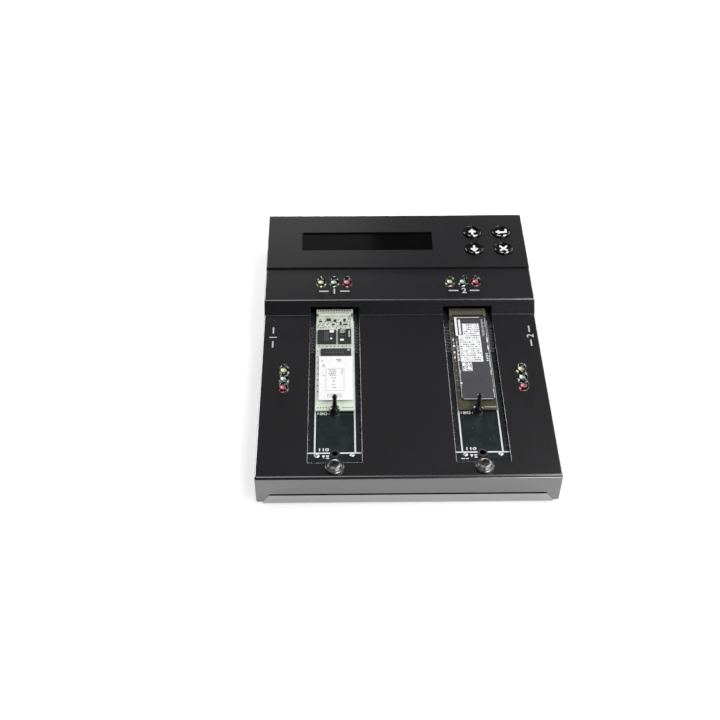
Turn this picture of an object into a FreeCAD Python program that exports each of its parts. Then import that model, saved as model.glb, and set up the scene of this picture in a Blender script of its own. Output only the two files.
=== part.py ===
# Stand-alone drive duplicator: low black sheet-steel box with two open bays for
# edge-connected drive cards on its front deck, a raised rear panel with a
# character display and four keys, and a drive socket in each side wall.
#
# Millimetres, +Z up. Everything is laid out from the front face (y = 0) towards
# the rear, and moved at export so that the row's origin is the centre of the
# whole box, on the surface the rubber feet stand on.
import FreeCAD, Part
import math
import os

V = FreeCAD.Vector

# ------------------------------------------------------------------ dimensions
W = 164.6              # overall width
D = 214.1              # depth of the casing
T = 1.0                # sheet thickness of covers and tray
FOOT_H = 0.8           # rubber feet
WALL_Z = 2.3           # lower edge of both covers
DECK_Z = 21.8          # front deck
LEDGE_Z = 28.4         # ledge that carries the upper lamps
PANEL_Z = 29.5         # rear panel, laid over the ledge by one sheet
RISER_Y0 = 125.8       # foot of the sloping riser
RISER_Y1 = 132.5       # head of the riser
SEAM_Y = 161.0         # front edge of the rear panel
TONGUE_Y = 167.0       # rear end of the ledge, tucked under the panel
R_BEND = 2.0           # outside radius of the bends
R_SIDE = 1.0           # outside radius along the side walls
R_REAR = 2.4           # outside radius of the panel's rear bend
FLANGE_Z = 24.0        # lower edge of the panel's rear flange
R_FOLD = 0.3           # outside radius of the inward fold at the riser's foot
R_CUT = 0.35           # broken edges of the bays and of the lip's cut-out

BAY = {-1: -39.5, 1: 40.9}   # bay centres, left and right
BAY_W = 29.4
BAY_Y0 = 11.0
BAY_TOP = 25.4         # the bay runs up the riser to here

BOARD_T = 1.6
TRAY_Z = FOOT_H + T    # top of the tray's floor
MAIN_Z = 5.0           # underside of the main board
MAIN_TOP = MAIN_Z + BOARD_T
ADAPT_Z = 18.1         # underside of the bay boards
ADAPT_TOP = ADAPT_Z + BOARD_T

CARD_W = 22.0          # drive card
CARD_L = 80.0
CARD_Y1 = 128.7        # edge that sits in the connector
CARD_Y0 = CARD_Y1 - CARD_L
CARD_Z = 20.9
CARD_T = 0.8
CONN_H = 3.3           # card connector above its board
HOLE_110_Y = CARD_Y1 - 110.0

SCREW_Y = 7.4          # thumb screws
PEG_TOP = 34.0

LED_R = 2.8            # lamp dome radius, and how far it stands proud
LED_UP = 3.9
LED_X = 39.7           # upper lamps
LED_PITCH = 8.0
LED_Y = 148.4
DLED_X = 68.7          # lamps on the deck
DLED_Y = (66.4, 73.1, 79.8)

LCD_X, LCD_Y = -18.7, 186.4
LCD_W, LCD_H = 83.0, 17.8
KEY_X = (49.1, 67.7)
KEY_Y = (178.0, 194.5)
KEY_R = 5.65
KEY_HOLE_R = 6.25
KEY_TRAVEL = 1.0
KEY_RIM = 0.6          # rounded rim of the cap
KEY_DISH = 0.75        # depth of its finger dish

SATA_Y = 107.0
SATA_L = 43.0

REAR_Y = 214.1         # outer face of the rear wall
SW_X, SW_Z = 58.0, 12.6
SW_FRAME = 1.2         # switch frame stands on the rear wall
SW_PIVOT_Y = REAR_Y + SW_FRAME - 5.0
SW_TILT = 9.0
JACK_X, JACK_Z = 25.0, 13.1

# the raised end of the rocker is the rearmost point: where its sloping top
# line y = 5.35 + 0.125 (x - 6.8) meets its 9 mm end arc
_a, _b, _c = 1 + 0.125 ** 2, 2 * 0.125 * (5.35 - 0.125 * 6.8), (5.35 - 0.125 * 6.8) ** 2 - 81.0
_x = (-_b + math.sqrt(_b * _b - 4 * _a * _c)) / (2 * _a)
_y = 5.35 + 0.125 * (_x - 6.8)
OVERALL_D = SW_PIVOT_Y + _y * math.cos(math.radians(SW_TILT)) + _x * math.sin(math.radians(SW_TILT))

os.makedirs("parts", exist_ok=True)
SHIFT = V(0, -OVERALL_D / 2.0, 0)
INFO = []


# --------------------------------------------------------------------- helpers
def box(x0, x1, y0, y1, z0, z1):
    return Part.makeBox(x1 - x0, y1 - y0, z1 - z0, V(x0, y0, z0))


def cyl(x, y, z0, z1, r):
    return Part.makeCylinder(r, z1 - z0, V(x, y, z0), V(0, 0, 1))


def cyl_x(x0, x1, y, z, r):
    return Part.makeCylinder(r, x1 - x0, V(x0, y, z), V(1, 0, 0))


def cyl_y(x, y0, y1, z, r):
    return Part.makeCylinder(r, y1 - y0, V(x, y0, z), V(0, 1, 0))


def prism(points, vec):
    """Closed polygon of 3-D points, pushed along vec."""
    pts = [V(*p) for p in points]
    return Part.Face(Part.makePolygon(pts + [pts[0]])).extrude(V(*vec))


def hex_post(x, y, z0, z1, af, bore=None):
    r = af / math.sqrt(3.0)
    pts = [(x + r * math.cos(math.radians(60 * i)), y + r * math.sin(math.radians(60 * i)), z0) for i in range(6)]
    s = prism(pts, (0, 0, z1 - z0))
    if bore:
        s = s.cut(cyl(x, y, z0 - 1, z1 + 1, bore))
    return s


def revolve(profile, x, y):
    """(r, z) profile turned about the vertical through x, y."""
    pts = [V(x + r, y, z) for r, z in profile]
    return Part.Face(Part.makePolygon(pts + [pts[0]])).revolve(V(x, y, 0), V(0, 0, 1), 360)


def round_path(points, radii):
    """Edges of an open path in the y-z plane; each inner corner gets its radius."""
    pts = [V(0, p[0], p[1]) for p in points]
    edges = []
    last = pts[0]
    for i in range(1, len(pts) - 1):
        a, b, c = pts[i - 1], pts[i], pts[i + 1]
        r = radii[i - 1]
        u = (a - b).normalize()
        w = (c - b).normalize()
        half = u.getAngle(w) / 2.0
        cut = r / math.tan(half)
        p = b + u * cut
        q = b + w * cut
        bis = (u + w).normalize()
        mid = b + bis * (r / math.sin(half) - r)
        if (p - last).Length > 1e-6:
            edges.append(Part.LineSegment(last, p).toShape())
        edges.append(Part.Arc(p, mid, q).toShape())
        last = q
    edges.append(Part.LineSegment(last, pts[-1]).toShape())
    return edges


def strip(points, t, r, x0, x1):
    """Bent strip of thickness t whose middle line follows points in the y-z plane."""
    def side(s):
        out = []
        rr = []
        pts = [V(0, p[0], p[1]) for p in points]
        for i, p in enumerate(pts):
            if i == 0 or i == len(pts) - 1:
                d = (pts[1] - pts[0]) if i == 0 else (pts[-1] - pts[-2])
                d.normalize()
                n = V(0, -d.z, d.y)
                out.append(p + n * (s * t / 2.0))
            else:
                d1 = (p - pts[i - 1]).normalize()
                d2 = (pts[i + 1] - p).normalize()
                n1 = V(0, -d1.z, d1.y)
                n2 = V(0, -d2.z, d2.y)
                bis = (n1 + n2).normalize()
                k = 1.0 / bis.dot(n1)
                out.append(p + bis * (s * t / 2.0 * k))
                turn = d1.y * d2.z - d1.z * d2.y
                rr.append(r - s * t / 2.0 * (1 if turn > 0 else -1))
        return out, rr
    a, ra = side(1)
    b, rb = side(-1)
    ea = round_path([(p.y, p.z) for p in a], ra)
    eb = round_path([(p.y, p.z) for p in b], rb)
    caps = [Part.LineSegment(a[0], b[0]).toShape(), Part.LineSegment(a[-1], b[-1]).toShape()]
    wire = Part.Wire(Part.__sortEdges__(ea + eb + caps))
    s = Part.Face(wire).extrude(V(x1 - x0, 0, 0))
    s.translate(V(x0, 0, 0))
    return s


def slot_box(x0, x1, y0, y1, z0, z1, r):
    """Upright block with rounded vertical corners."""
    b = box(x0, x1, y0, y1, z0, z1)
    es = [e for e in b.Edges if abs(abs(e.tangentAt(e.FirstParameter).z) - 1) < 1e-6]
    return b.makeFillet(r, es)


def emit(name, shapes):
    if not isinstance(shapes, (list, tuple)):
        shapes = [shapes]
    solids = []
    for s in shapes:
        if len(s.Solids) != 1:
            print("!!", name, "has a piece with", len(s.Solids), "solids")
        for k in s.Solids:
            if not k.isValid() or k.Volume <= 0:
                print("!!", name, "invalid solid", k.Volume)
            solids.append(k)
    out = solids[0].copy() if len(solids) == 1 else Part.makeCompound([k.copy() for k in solids])
    out.translate(SHIFT)
    out.exportStep("parts/" + name + ".step")
    b = out.BoundBox
    INFO.append((name, len(solids), out.Volume, b))


# --------------------------------------------------------------- sheet covers
def cover_block(path, radii, z_low, half, side_r, y_front):
    """Filled block under a rounded top line, with rounded top side edges."""
    top = round_path(path, radii)
    a = V(0, path[0][0], path[0][1])
    b = V(0, path[-1][0], path[-1][1])
    low_a = V(0, a.y, z_low)
    low_b = V(0, b.y, z_low)
    edges = list(top)
    if (a - low_a).Length > 1e-6:
        edges.append(Part.LineSegment(a, low_a).toShape())
    edges.append(Part.LineSegment(low_a, low_b).toShape())
    edges.append(Part.LineSegment(low_b, b).toShape())
    wire = Part.Wire(Part.__sortEdges__(edges))
    s = Part.Face(wire).extrude(V(2 * half, 0, 0))
    s.translate(V(-half, 0, 0))
    if side_r > 0:
        pick = []
        for e in s.Edges:
            bb = e.BoundBox
            if abs(abs(bb.XMin) - half) > 1e-4 or abs(bb.XMax - bb.XMin) > 1e-4:
                continue
            mid = e.valueAt((e.FirstParameter + e.LastParameter) / 2.0)
            if abs(mid.z - z_low) < 1e-4:
                continue
            if abs(bb.YMax - bb.YMin) < 1e-5 and abs(mid.y - y_front) > 1e-4:
                continue          # upright rear edge stays sharp
            pick.append(e)
        s = s.makeFillet(side_r, pick)
    return s


HALF = W / 2.0
outer = cover_block([(0, WALL_Z), (0, DECK_Z), (RISER_Y0, DECK_Z), (RISER_Y1, LEDGE_Z), (TONGUE_Y, LEDGE_Z)],
                    [R_BEND, R_FOLD, R_BEND], WALL_Z, HALF, R_SIDE, 0.0)
k = T * math.tan(math.atan2(LEDGE_Z - DECK_Z, RISER_Y1 - RISER_Y0) / 2.0)
inner = cover_block([(T, -2.0), (T, DECK_Z - T), (RISER_Y0 + k, DECK_Z - T), (RISER_Y1 + k, LEDGE_Z - T), (TONGUE_Y + 5, LEDGE_Z - T)],
                    [R_BEND - T, R_FOLD + T, R_BEND - T], -2.0, HALF - T, max(R_SIDE - T, 0.0), T)
deck = outer.cut(inner)
# behind the seam only the tongue of the ledge is left
deck = deck.cut(box(-HALF - 1, HALF + 1, SEAM_Y - 0.1, TONGUE_Y + 1, -1, LEDGE_Z - T - 0.01))
deck = deck.cut(box(-HALF - 1, -HALF + 3.2, SEAM_Y - 0.1, TONGUE_Y + 1, 0, LEDGE_Z + 1))
deck = deck.cut(box(HALF - 3.2, HALF + 1, SEAM_Y - 0.1, TONGUE_Y + 1, 0, LEDGE_Z + 1))
# bays: through the deck and up the riser
for s in (-1, 1):
    deck = deck.cut(box(BAY[s] - BAY_W / 2, BAY[s] + BAY_W / 2, BAY_Y0, RISER_Y1 + 2, DECK_Z - 8, BAY_TOP))
    deck = deck.cut(cyl(BAY[s], SCREW_Y, DECK_Z - 3, DECK_Z + 1, 2.1))
    for y in DLED_Y:
        deck = deck.cut(cyl(s * DLED_X, y, DECK_Z - 3, DECK_Z + 1, LED_R + 0.1))
    for i in (-1, 0, 1):
        deck = deck.cut(cyl(s * LED_X + i * LED_PITCH, LED_Y, LEDGE_Z - 3, LEDGE_Z + 1, LED_R + 0.1))
# notch for the drive sockets, open at the lower edge
for s in (-1, 1):
    x0, x1 = (-HALF - 1, -HALF + 3) if s < 0 else (HALF - 3, HALF + 1)
    deck = deck.cut(box(x0, x1, SATA_Y - SATA_L / 2 - 0.4, SATA_Y + SATA_L / 2 + 0.4, 0, 8.9))
# cut-out in the front wall that the tray's lip fills
deck = deck.cut(prism([(-79.0, -1, 0), (79.0, -1, 0), (79.0, -1, WALL_Z), (74.7, -1, 8.5), (-74.7, -1, 8.5), (-79.0, -1, WALL_Z)], (0, 3, 0)))


def edges_where(shape, test):
    return [e for e in shape.Edges if test(e.BoundBox)]


def bay_rim(b):
    if abs(b.ZMin - DECK_Z) > 1e-4 or abs(b.ZMax - DECK_Z) > 1e-4 or b.YMin < BAY_Y0 - 0.1:
        return False
    for s in (-1, 1):
        for x in (BAY[s] - BAY_W / 2, BAY[s] + BAY_W / 2):
            if abs(b.XMin - x) < 1e-4 and abs(b.XMax - x) < 1e-4 and b.YLength > 50:
                return True
        if abs(b.YMin - BAY_Y0) < 1e-4 and abs(b.YMax - BAY_Y0) < 1e-4 and b.XLength > 20:
            return True
    return False


deck = deck.makeFillet(R_CUT, edges_where(deck, bay_rim))
deck = deck.makeFillet(R_CUT, edges_where(deck, lambda b: abs(b.ZMin - 8.5) < 1e-4 and abs(b.ZMax - 8.5) < 1e-4 and abs(b.YMin) < 1e-4 and abs(b.YMax) < 1e-4 and b.XLength > 100))

SIDE_SCREWS_DECK = (22.0, 150.0)
SIDE_SCREW_PANEL = 196.0
SIDE_SCREW_Z = 7.0


def side_screw_tool(s, y, grow):
    """Countersunk screw shape pointing inwards from side wall s."""
    head = Part.makeCone(2.4 + grow, 1.45 + grow, T, V(s * HALF, y, SIDE_SCREW_Z), V(-s, 0, 0))
    shank = Part.makeCylinder(1.45 + grow, 5.2, V(s * (HALF - T), y, SIDE_SCREW_Z), V(-s, 0, 0))
    return head.fuse(shank).removeSplitter()


for s in (-1, 1):
    for y in SIDE_SCREWS_DECK:
        deck = deck.cut(side_screw_tool(s, y, 0.06))
emit("deck_cover", deck)

def rear_rounded(x0, x1, y0, y1, z0, z1, r):
    """Block whose upper rear edge is rounded to r."""
    c = V(0, y1 - r, z1 - r)
    mid = c + V(0, r * math.sqrt(0.5), r * math.sqrt(0.5))
    p = [V(0, y0, z0), V(0, y0, z1), V(0, y1 - r, z1), V(0, y1, z1 - r), V(0, y1, z0)]
    w = Part.Wire([Part.LineSegment(p[0], p[1]).toShape(), Part.LineSegment(p[1], p[2]).toShape(), Part.Arc(p[2], mid, p[3]).toShape(),
                   Part.LineSegment(p[3], p[4]).toShape(), Part.LineSegment(p[4], p[0]).toShape()])
    s = Part.Face(w).extrude(V(x1 - x0, 0, 0))
    s.translate(V(x0, 0, 0))
    return s


blk = rear_rounded(-HALF, HALF, SEAM_Y, D, WALL_Z, PANEL_Z, R_REAR)
es = []
for e in blk.Edges:
    b = e.BoundBox
    if b.XLength < 1e-4 and b.ZMin > PANEL_Z - R_REAR - 0.01 and b.YLength > 1.0:
        es.append(e)
blk = blk.makeFillet(R_SIDE, es)
blk = blk.makeChamfer(0.25, [e for e in blk.Edges if abs(e.BoundBox.YMax - SEAM_Y) < 1e-4 and abs(e.BoundBox.ZMin - PANEL_Z) < 1e-3 and e.BoundBox.XLength > 100])
panel = blk.cut(rear_rounded(-HALF + T, HALF - T, SEAM_Y - 1, D - T, FLANGE_Z - 1, PANEL_Z - T, R_REAR - T))
panel = panel.cut(box(-HALF + T, HALF - T, SEAM_Y - 1, D + 1, -1, FLANGE_Z))
panel = panel.cut(slot_box(LCD_X - LCD_W / 2, LCD_X + LCD_W / 2, LCD_Y - LCD_H / 2, LCD_Y + LCD_H / 2, PANEL_Z - 3, PANEL_Z + 1, 0.8))
for x in KEY_X:
    for y in KEY_Y:
        panel = panel.cut(cyl(x, y, PANEL_Z - 3, PANEL_Z + 1, KEY_HOLE_R))
for s in (-1, 1):
    panel = panel.cut(side_screw_tool(s, SIDE_SCREW_PANEL, 0.06))
emit("panel_cover", panel)

# ------------------------------------------------------------------ base tray
tray = box(-81.1, 81.1, 1.1, REAR_Y, FOOT_H, TRAY_Z)
tray = tray.fuse(box(-78.75, 78.75, 0, 4, FOOT_H, TRAY_Z))
lip = prism([(-78.75, 0, FOOT_H), (78.75, 0, FOOT_H), (78.75, 0, WALL_Z), (75.2, 0, 7.4), (-75.2, 0, 7.4), (-78.75, 0, WALL_Z)], (0, T, 0))
tray = tray.fuse(lip)
tray = tray.fuse(box(-81.1, 81.1, REAR_Y - T, REAR_Y, FOOT_H, FLANGE_Z - 0.15))
for s in (-1, 1):
    x0, x1 = (-81.1, -81.1 + T) if s < 0 else (81.1 - T, 81.1)
    tray = tray.fuse(box(x0, x1, 6.0, REAR_Y - 0.5, FOOT_H, 12.0))
tray = tray.removeSplitter()
for s in (-1, 1):
    x0, x1 = (-82, -79) if s < 0 else (79, 82)
    tray = tray.cut(box(x0, x1, SATA_Y - SATA_L / 2 - 0.6, SATA_Y + SATA_L / 2 + 0.6, TRAY_Z, 13))
    for y in SIDE_SCREWS_DECK + (SIDE_SCREW_PANEL,):
        tray = tray.fuse(cyl_x(*((78.3, 81.1) if s > 0 else (-81.1, -78.3)), y, SIDE_SCREW_Z, 2.8))
    for y in SIDE_SCREWS_DECK + (SIDE_SCREW_PANEL,):
        tray = tray.cut(cyl_x(*((70, 85) if s > 0 else (-85, -70)), y, SIDE_SCREW_Z, 1.47))
tray = tray.cut(box(SW_X - 9.65, SW_X + 9.65, REAR_Y - 3, REAR_Y + 1, SW_Z - 6.5, SW_Z + 6.5))
tray = tray.cut(cyl_y(JACK_X, REAR_Y - 3, REAR_Y + 1, JACK_Z, 4.2))
MAIN_HOLES = [(-66, 24), (66, 24), (-70, 160), (70, 150), (-66, 198), (38, 198)]
es = []
for e in tray.Edges:
    b = e.BoundBox
    if b.XLength > 150 and b.YLength < 1e-4 and b.ZLength < 1e-4 and abs(b.YMin) < 1e-4 and abs(b.ZMin - FOOT_H) < 1e-4:
        es.append(e)
if es:
    tray = tray.makeFillet(0.4, es)
else:
    print("!! no lip bend edge")
emit("base_tray", tray)

FEET = [(-68, 15), (68, 15), (-68, 199), (68, 199)]
feet = []
for x, y in FEET:
    f = cyl(x, y, 0, FOOT_H, 5.5)
    low = [e for e in f.Edges if abs(e.BoundBox.ZMax) < 1e-4]
    feet.append(f.makeFillet(0.4, low))
emit("rubber_feet", feet)

screws = []
for s in (-1, 1):
    for y in SIDE_SCREWS_DECK + (SIDE_SCREW_PANEL,):
        sc = side_screw_tool(s, y, 0.0)
        cross = box(-0.9, 0.9, y - 0.28, y + 0.28, SIDE_SCREW_Z - 1.35, SIDE_SCREW_Z + 1.35).fuse(
            box(-0.9, 0.9, y - 1.35, y + 1.35, SIDE_SCREW_Z - 0.28, SIDE_SCREW_Z + 0.28))
        cross.translate(V(s * HALF, 0, 0))
        screws.append(sc.cut(cross))
emit("case_screws", screws)


# ------------------------------------------------------------------ main board
main = box(-76, 76, 16, 208, MAIN_Z, MAIN_TOP)
for s in (-1, 1):
    x0, x1 = (-77, -72.4) if s < 0 else (72.4, 77)
    main = main.cut(box(x0, x1, SATA_Y - SATA_L / 2 - 0.3, SATA_Y + SATA_L / 2 + 0.3, 0, 10))
main = main.cut(box(45.0, 77, 186.0, 210, 0, 10))
for x, y in MAIN_HOLES:
    main = main.cut(cyl(x, y, 0, 10, 1.6))
emit("main_board", main)
emit("main_board_standoffs", [hex_post(x, y, TRAY_Z, MAIN_Z, 5.5, 1.5) for x, y in MAIN_HOLES])


def pan_screw(x, y, seat, length, up=True, r=1.45):
    """Cross-recess pan screw. up: head above the seat."""
    h = 1.7
    if up:
        s = revolve([(0, seat - length), (r, seat - length), (r, seat), (2.7, seat), (2.7, seat + h * 0.55), (2.2, seat + h * 0.9), (1.4, seat + h), (0, seat + h)], x, y)
        c0, c1 = seat + h - 0.9, seat + h + 1
    else:
        s = revolve([(0, seat + length), (r, seat + length), (r, seat), (2.7, seat), (2.7, seat - h * 0.55), (2.2, seat - h * 0.9), (1.4, seat - h), (0, seat - h)], x, y)
        c0, c1 = seat - h - 1, seat - h + 0.9
    cross = box(x - 1.4, x + 1.4, y - 0.3, y + 0.3, c0, c1).fuse(box(x - 0.3, x + 0.3, y - 1.4, y + 1.4, c0, c1))
    return s.cut(cross)


board_screws = [pan_screw(x, y, MAIN_TOP, 4.0) for x, y in MAIN_HOLES]

chips = []
emit("controller_chip", box(-9, 9, 86, 104, MAIN_TOP, MAIN_TOP + 1.6))
hs = box(-11, 11, 84, 106, MAIN_TOP + 1.6, MAIN_TOP + 9.0)
for i in range(6):
    x = -9.0 + i * 3.4
    hs = hs.cut(box(x, x + 1.7, 83, 107, MAIN_TOP + 3.2, MAIN_TOP + 12))
emit("heat_sink", hs)
for x, y, a, b, h in [(-56, 100, 10, 10, 1.2), (56, 100, 10, 10, 1.2), (-22, 120, 12, 8, 1.1), (22, 120, 12, 8, 1.1),
                      (0, 60, 14, 14, 1.2), (30, 172, 9, 9, 1.2), (0, 172, 8, 6, 1.5), (-52, 176, 6, 5, 1.5)]:
    chips.append(box(x - a / 2, x + a / 2, y - b / 2, y + b / 2, MAIN_TOP, MAIN_TOP + h))
emit("board_chips", chips)
caps = []
for x, y in [(14, 188), (14, 198), (4, 198), (4, 188)]:
    caps.append(revolve([(0, MAIN_TOP), (3.1, MAIN_TOP), (3.15, MAIN_TOP + 1.2), (2.95, MAIN_TOP + 1.7), (3.15, MAIN_TOP + 2.2), (3.15, MAIN_TOP + 7.4), (2.9, MAIN_TOP + 7.7), (0, MAIN_TOP + 7.7)], x, y))
emit("power_capacitors", caps)
bz = cyl(-22, 158, MAIN_TOP, MAIN_TOP + 6.5, 6.0).cut(cyl(-22, 158, MAIN_TOP + 5.5, MAIN_TOP + 8, 1.0))
emit("buzzer", bz)


# ---------------------------------------------------------- side drive sockets
def sata(s):
    """22-way drive socket. Its mouth is in the plane of the side wall."""
    xi, xo = 72.5, HALF
    body = box(xi, xo, SATA_Y - SATA_L / 2, SATA_Y + SATA_L / 2, 2.7, 8.5)
    # guide horns narrow, the tongue slots are open to the outside
    for y0, y1 in ((SATA_Y - 18.6, SATA_Y + 4.6), (SATA_Y + 7.2, SATA_Y + 18.4)):
        body = body.cut(box(xo - 6.2, xo + 1, y0, y1, 4.2, 6.4))
        body = body.cut(box(xo - 6.2, xo + 1, y0, y0 + 1.4, 4.2, 7.4))
    for y in (SATA_Y - SATA_L / 2, SATA_Y + SATA_L / 2 - 1.2):
        body = body.cut(box(xo - 5.0, xo + 1, y, y + 1.2, 2.0, 9.5))
    # step where the board's edge enters the back of the housing
    if s < 0:
        body = body.mirror(V(0, SATA_Y, 0), V(1, 0, 0))
    return body


emit("sata_connector_left", sata(-1))
emit("sata_connector_right", sata(1))

# ----------------------------------------------------------------- bay boards
AD_STAND = []
for s, side in ((-1, "left"), (1, "right")):
    cx = BAY[s]
    b = box(cx - 17, cx + 17, 2.6, 141.2, ADAPT_Z, ADAPT_TOP)
    b = b.cut(cyl(cx, SCREW_Y, 10, 25, 1.9))
    b = b.cut(cyl(cx, HOLE_110_Y, 10, 25, 1.7))
    b = b.cut(cyl(cx, CARD_Y0, 10, 25, 1.7))
    for dx in (-13.2, 13.2):
        AD_STAND.append((cx + dx, 137.6))
        b = b.cut(cyl(cx + dx, 137.6, 10, 25, 1.6))
    emit("adapter_board_" + side, b)

    # low edge connector with a slot for the card's end
    c = box(cx - 10.95, cx + 10.95, 122.8, 129.8, ADAPT_TOP, ADAPT_TOP + CONN_H)
    c = c.cut(box(cx - CARD_W / 2 + 0.95, cx + CARD_W / 2 - 0.95, 122, CARD_Y1 + 0.05, CARD_Z - 0.02, CARD_Z + CARD_T + 0.02))
    c = c.cut(box(cx - CARD_W / 2 - 0.1, cx + CARD_W / 2 + 0.1, 122, 124.6, CARD_Z - 0.02, CARD_Z + CARD_T + 0.02))
    c = c.cut(box(cx - 9.4, cx + 9.4, 122, 124.4, CARD_Z + CARD_T, ADAPT_TOP + 5))
    emit("m2_connector_" + side, c)

emit("adapter_standoffs", [hex_post(x, y, MAIN_TOP, ADAPT_Z, 5.5, 1.5) for x, y in AD_STAND])
board_screws += [pan_screw(x, y, ADAPT_TOP, 4.0) for x, y in AD_STAND]

sleeves = []
for s in (-1, 1):
    cx = BAY[s]
    sleeves.append(revolve([(1.7, ADAPT_TOP), (2.75, ADAPT_TOP), (2.75, CARD_Z - 0.02), (1.7, CARD_Z - 0.02)], cx, CARD_Y0))
    sleeves.append(revolve([(1.7, ADAPT_TOP), (2.5, ADAPT_TOP), (2.4, ADAPT_TOP + 0.25), (1.7, ADAPT_TOP + 0.25)], cx, HOLE_110_Y))
emit("card_sleeves", sleeves)

hous, pins = [], []
for s in (-1, 1):
    cx = BAY[s]
    y0 = 112.0
    low = box(cx - 10.16, cx + 10.16, y0 - 2.54, y0 + 2.54, MAIN_TOP, MAIN_TOP + 2.5)
    top = box(cx - 10.16, cx + 10.16, y0 - 2.54, y0 + 2.54, ADAPT_Z - 8.5, ADAPT_Z)
    for i in range(8):
        for j in (-1, 1):
            px, py = cx - 8.89 + i * 2.54, y0 + j * 1.27
            low = low.cut(box(px - 0.32, px + 0.32, py - 0.32, py + 0.32, MAIN_TOP - 1, MAIN_TOP + 4))
            top = top.cut(box(px - 0.4, px + 0.4, py - 0.4, py + 0.4, ADAPT_Z - 9, ADAPT_Z - 1.5))
            pins.append(box(px - 0.32, px + 0.32, py - 0.32, py + 0.32, MAIN_TOP, ADAPT_Z - 2.5))
    hous += [low, top]
emit("header_housings", hous)
emit("header_pins", pins)


# ---------------------------------------------------------------- drive cards
def card_blank(cx):
    c = box(cx - CARD_W / 2, cx + CARD_W / 2, CARD_Y0, CARD_Y1, CARD_Z, CARD_Z + CARD_T)
    c = c.cut(cyl(cx, CARD_Y0, 20, 25, 1.75))
    # shoulders beside the contact edge
    for s in (-1, 1):
        c = c.cut(box(cx + (-12 if s < 0 else 10.0), cx + (-10.0 if s < 0 else 12), CARD_Y1 - 4.15, CARD_Y1 + 1, 20, 25))
    return c.cut(box(cx + 4.9, cx + 6.1, CARD_Y1 - 3.5, CARD_Y1 + 1, 20, 25))


CT = CARD_Z + CARD_T
cx = BAY[-1]
emit("m2_card_left", card_blank(cx))
emit("m2_card_left_chips", [
    box(cx - 10.3, cx + 0.9, 101.0, 112.4, CT, CT + 1.0),
    box(cx + 2.0, cx + 9.8, 101.0, 113.2, CT, CT + 0.9),
    box(cx - 8.2, cx + 9.6, 60.0, 96.6, CT, CT + 1.0)])
emit("m2_card_left_label", box(cx - 9.2, cx + 10.4, 55.4, 90.0, CT + 1.0, CT + 1.12))
cx = BAY[1]
emit("m2_card_right", card_blank(cx))
emit("m2_card_right_chips", [
    box(cx - 7.2, cx + 7.2, 98.0, 120.0, CT, CT + 1.0),
    box(cx - 8.2, cx + 9.2, 58.0, 92.0, CT, CT + 1.0)])
emit("m2_card_right_label", slot_box(cx - 8.6, cx + 10.3, 55.2, 122.6, CT + 1.0, CT + 1.12, 1.2))


# ---------------------------------------------------- card retaining pegs
def peg(cx):
    y = CARD_Y0
    p = revolve([(0, 16.6), (1.15, 16.6), (1.62, 17.4), (1.62, CT + 0.05), (2.7, CT + 0.05), (2.85, CT + 0.6),
                 (2.7, CT + 1.6), (1.75, CT + 2.4), (1.35, CT + 4.0), (1.15, PEG_TOP - 2.8), (1.4, PEG_TOP - 1.7),
                 (1.35, PEG_TOP - 0.5), (0.8, PEG_TOP), (0, PEG_TOP)], cx, y)
    # split foot
    p = p.cut(box(cx - 0.3, cx + 0.3, y - 3, y + 3, 16, CARD_Z - 1.4))
    return p


emit("retaining_peg_left", peg(BAY[-1]))
emit("retaining_peg_right", peg(BAY[1]))


# ------------------------------------------------------------- thumb screws
def thumb(cx):
    z = DECK_Z + 0.05
    s = revolve([(0, 9.0), (1.1, 9.0), (1.5, 9.5), (1.5, z), (5.0, z), (5.0, z + 1.2), (4.75, z + 1.6), (3.9, z + 1.75),
                 (3.7, z + 2.1), (3.3, z + 2.9), (2.4, z + 3.25), (0, z + 3.4)], cx, SCREW_Y)
    for a in (0, 90):
        b = box(-2.35, 2.35, -0.45, 0.45, z + 1.9, z + 5)
        b.rotate(V(0, 0, 0), V(0, 0, 1), a + 20)
        b.translate(V(cx, SCREW_Y, 0))
        s = s.cut(b)
    return s


emit("thumb_screw_left", thumb(BAY[-1]))
emit("thumb_screw_right", thumb(BAY[1]))
emit("thumb_screw_posts", [hex_post(BAY[s], SCREW_Y, TRAY_Z, ADAPT_Z, 7.0, 1.56) for s in (-1, 1)])


# --------------------------------------------------------------------- lamps
def led(x, y, tip):
    z0 = tip - 8.6
    pts = [(0, z0), (LED_R + 0.35, z0), (LED_R + 0.35, z0 + 1.0), (LED_R, z0 + 1.0), (LED_R, tip - LED_R)]
    n = 7
    for i in range(1, n):
        a = math.pi / 2 * i / n
        pts.append((LED_R * math.cos(a), tip - LED_R + LED_R * math.sin(a)))
    pts.append((0, tip))
    return revolve(pts, x, y)


LEDGE_TIP = LEDGE_Z + LED_UP
DECK_TIP = DECK_Z + LED_UP
yel, grn, red = [], [], []
for s in (-1, 1):
    yel.append(led(s * LED_X - LED_PITCH, LED_Y, LEDGE_TIP))
    grn.append(led(s * LED_X, LED_Y, LEDGE_TIP))
    red.append(led(s * LED_X + LED_PITCH, LED_Y, LEDGE_TIP))
    red.append(led(s * DLED_X, DLED_Y[0], DECK_TIP))
    grn.append(led(s * DLED_X, DLED_Y[1], DECK_TIP))
    yel.append(led(s * DLED_X, DLED_Y[2], DECK_TIP))
emit("leds_yellow", yel)
emit("leds_green", grn)
emit("leds_red", red)
emit("led_spacers", [cyl(s * DLED_X, y, MAIN_TOP, DECK_TIP - 8.6, 2.7).cut(cyl(s * DLED_X, y, MAIN_TOP - 1, 30, 1.6)) for s in (-1, 1) for y in DLED_Y])
LB_TOP = LEDGE_TIP - 8.6
lb = box(-60, 60, 142.4, 154.4, LB_TOP - BOARD_T, LB_TOP)
LB_HOLES = [(-56, 148.4), (0, 148.4), (56, 148.4)]
for x, y in LB_HOLES:
    lb = lb.cut(cyl(x, y, 10, 30, 1.6))
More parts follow.
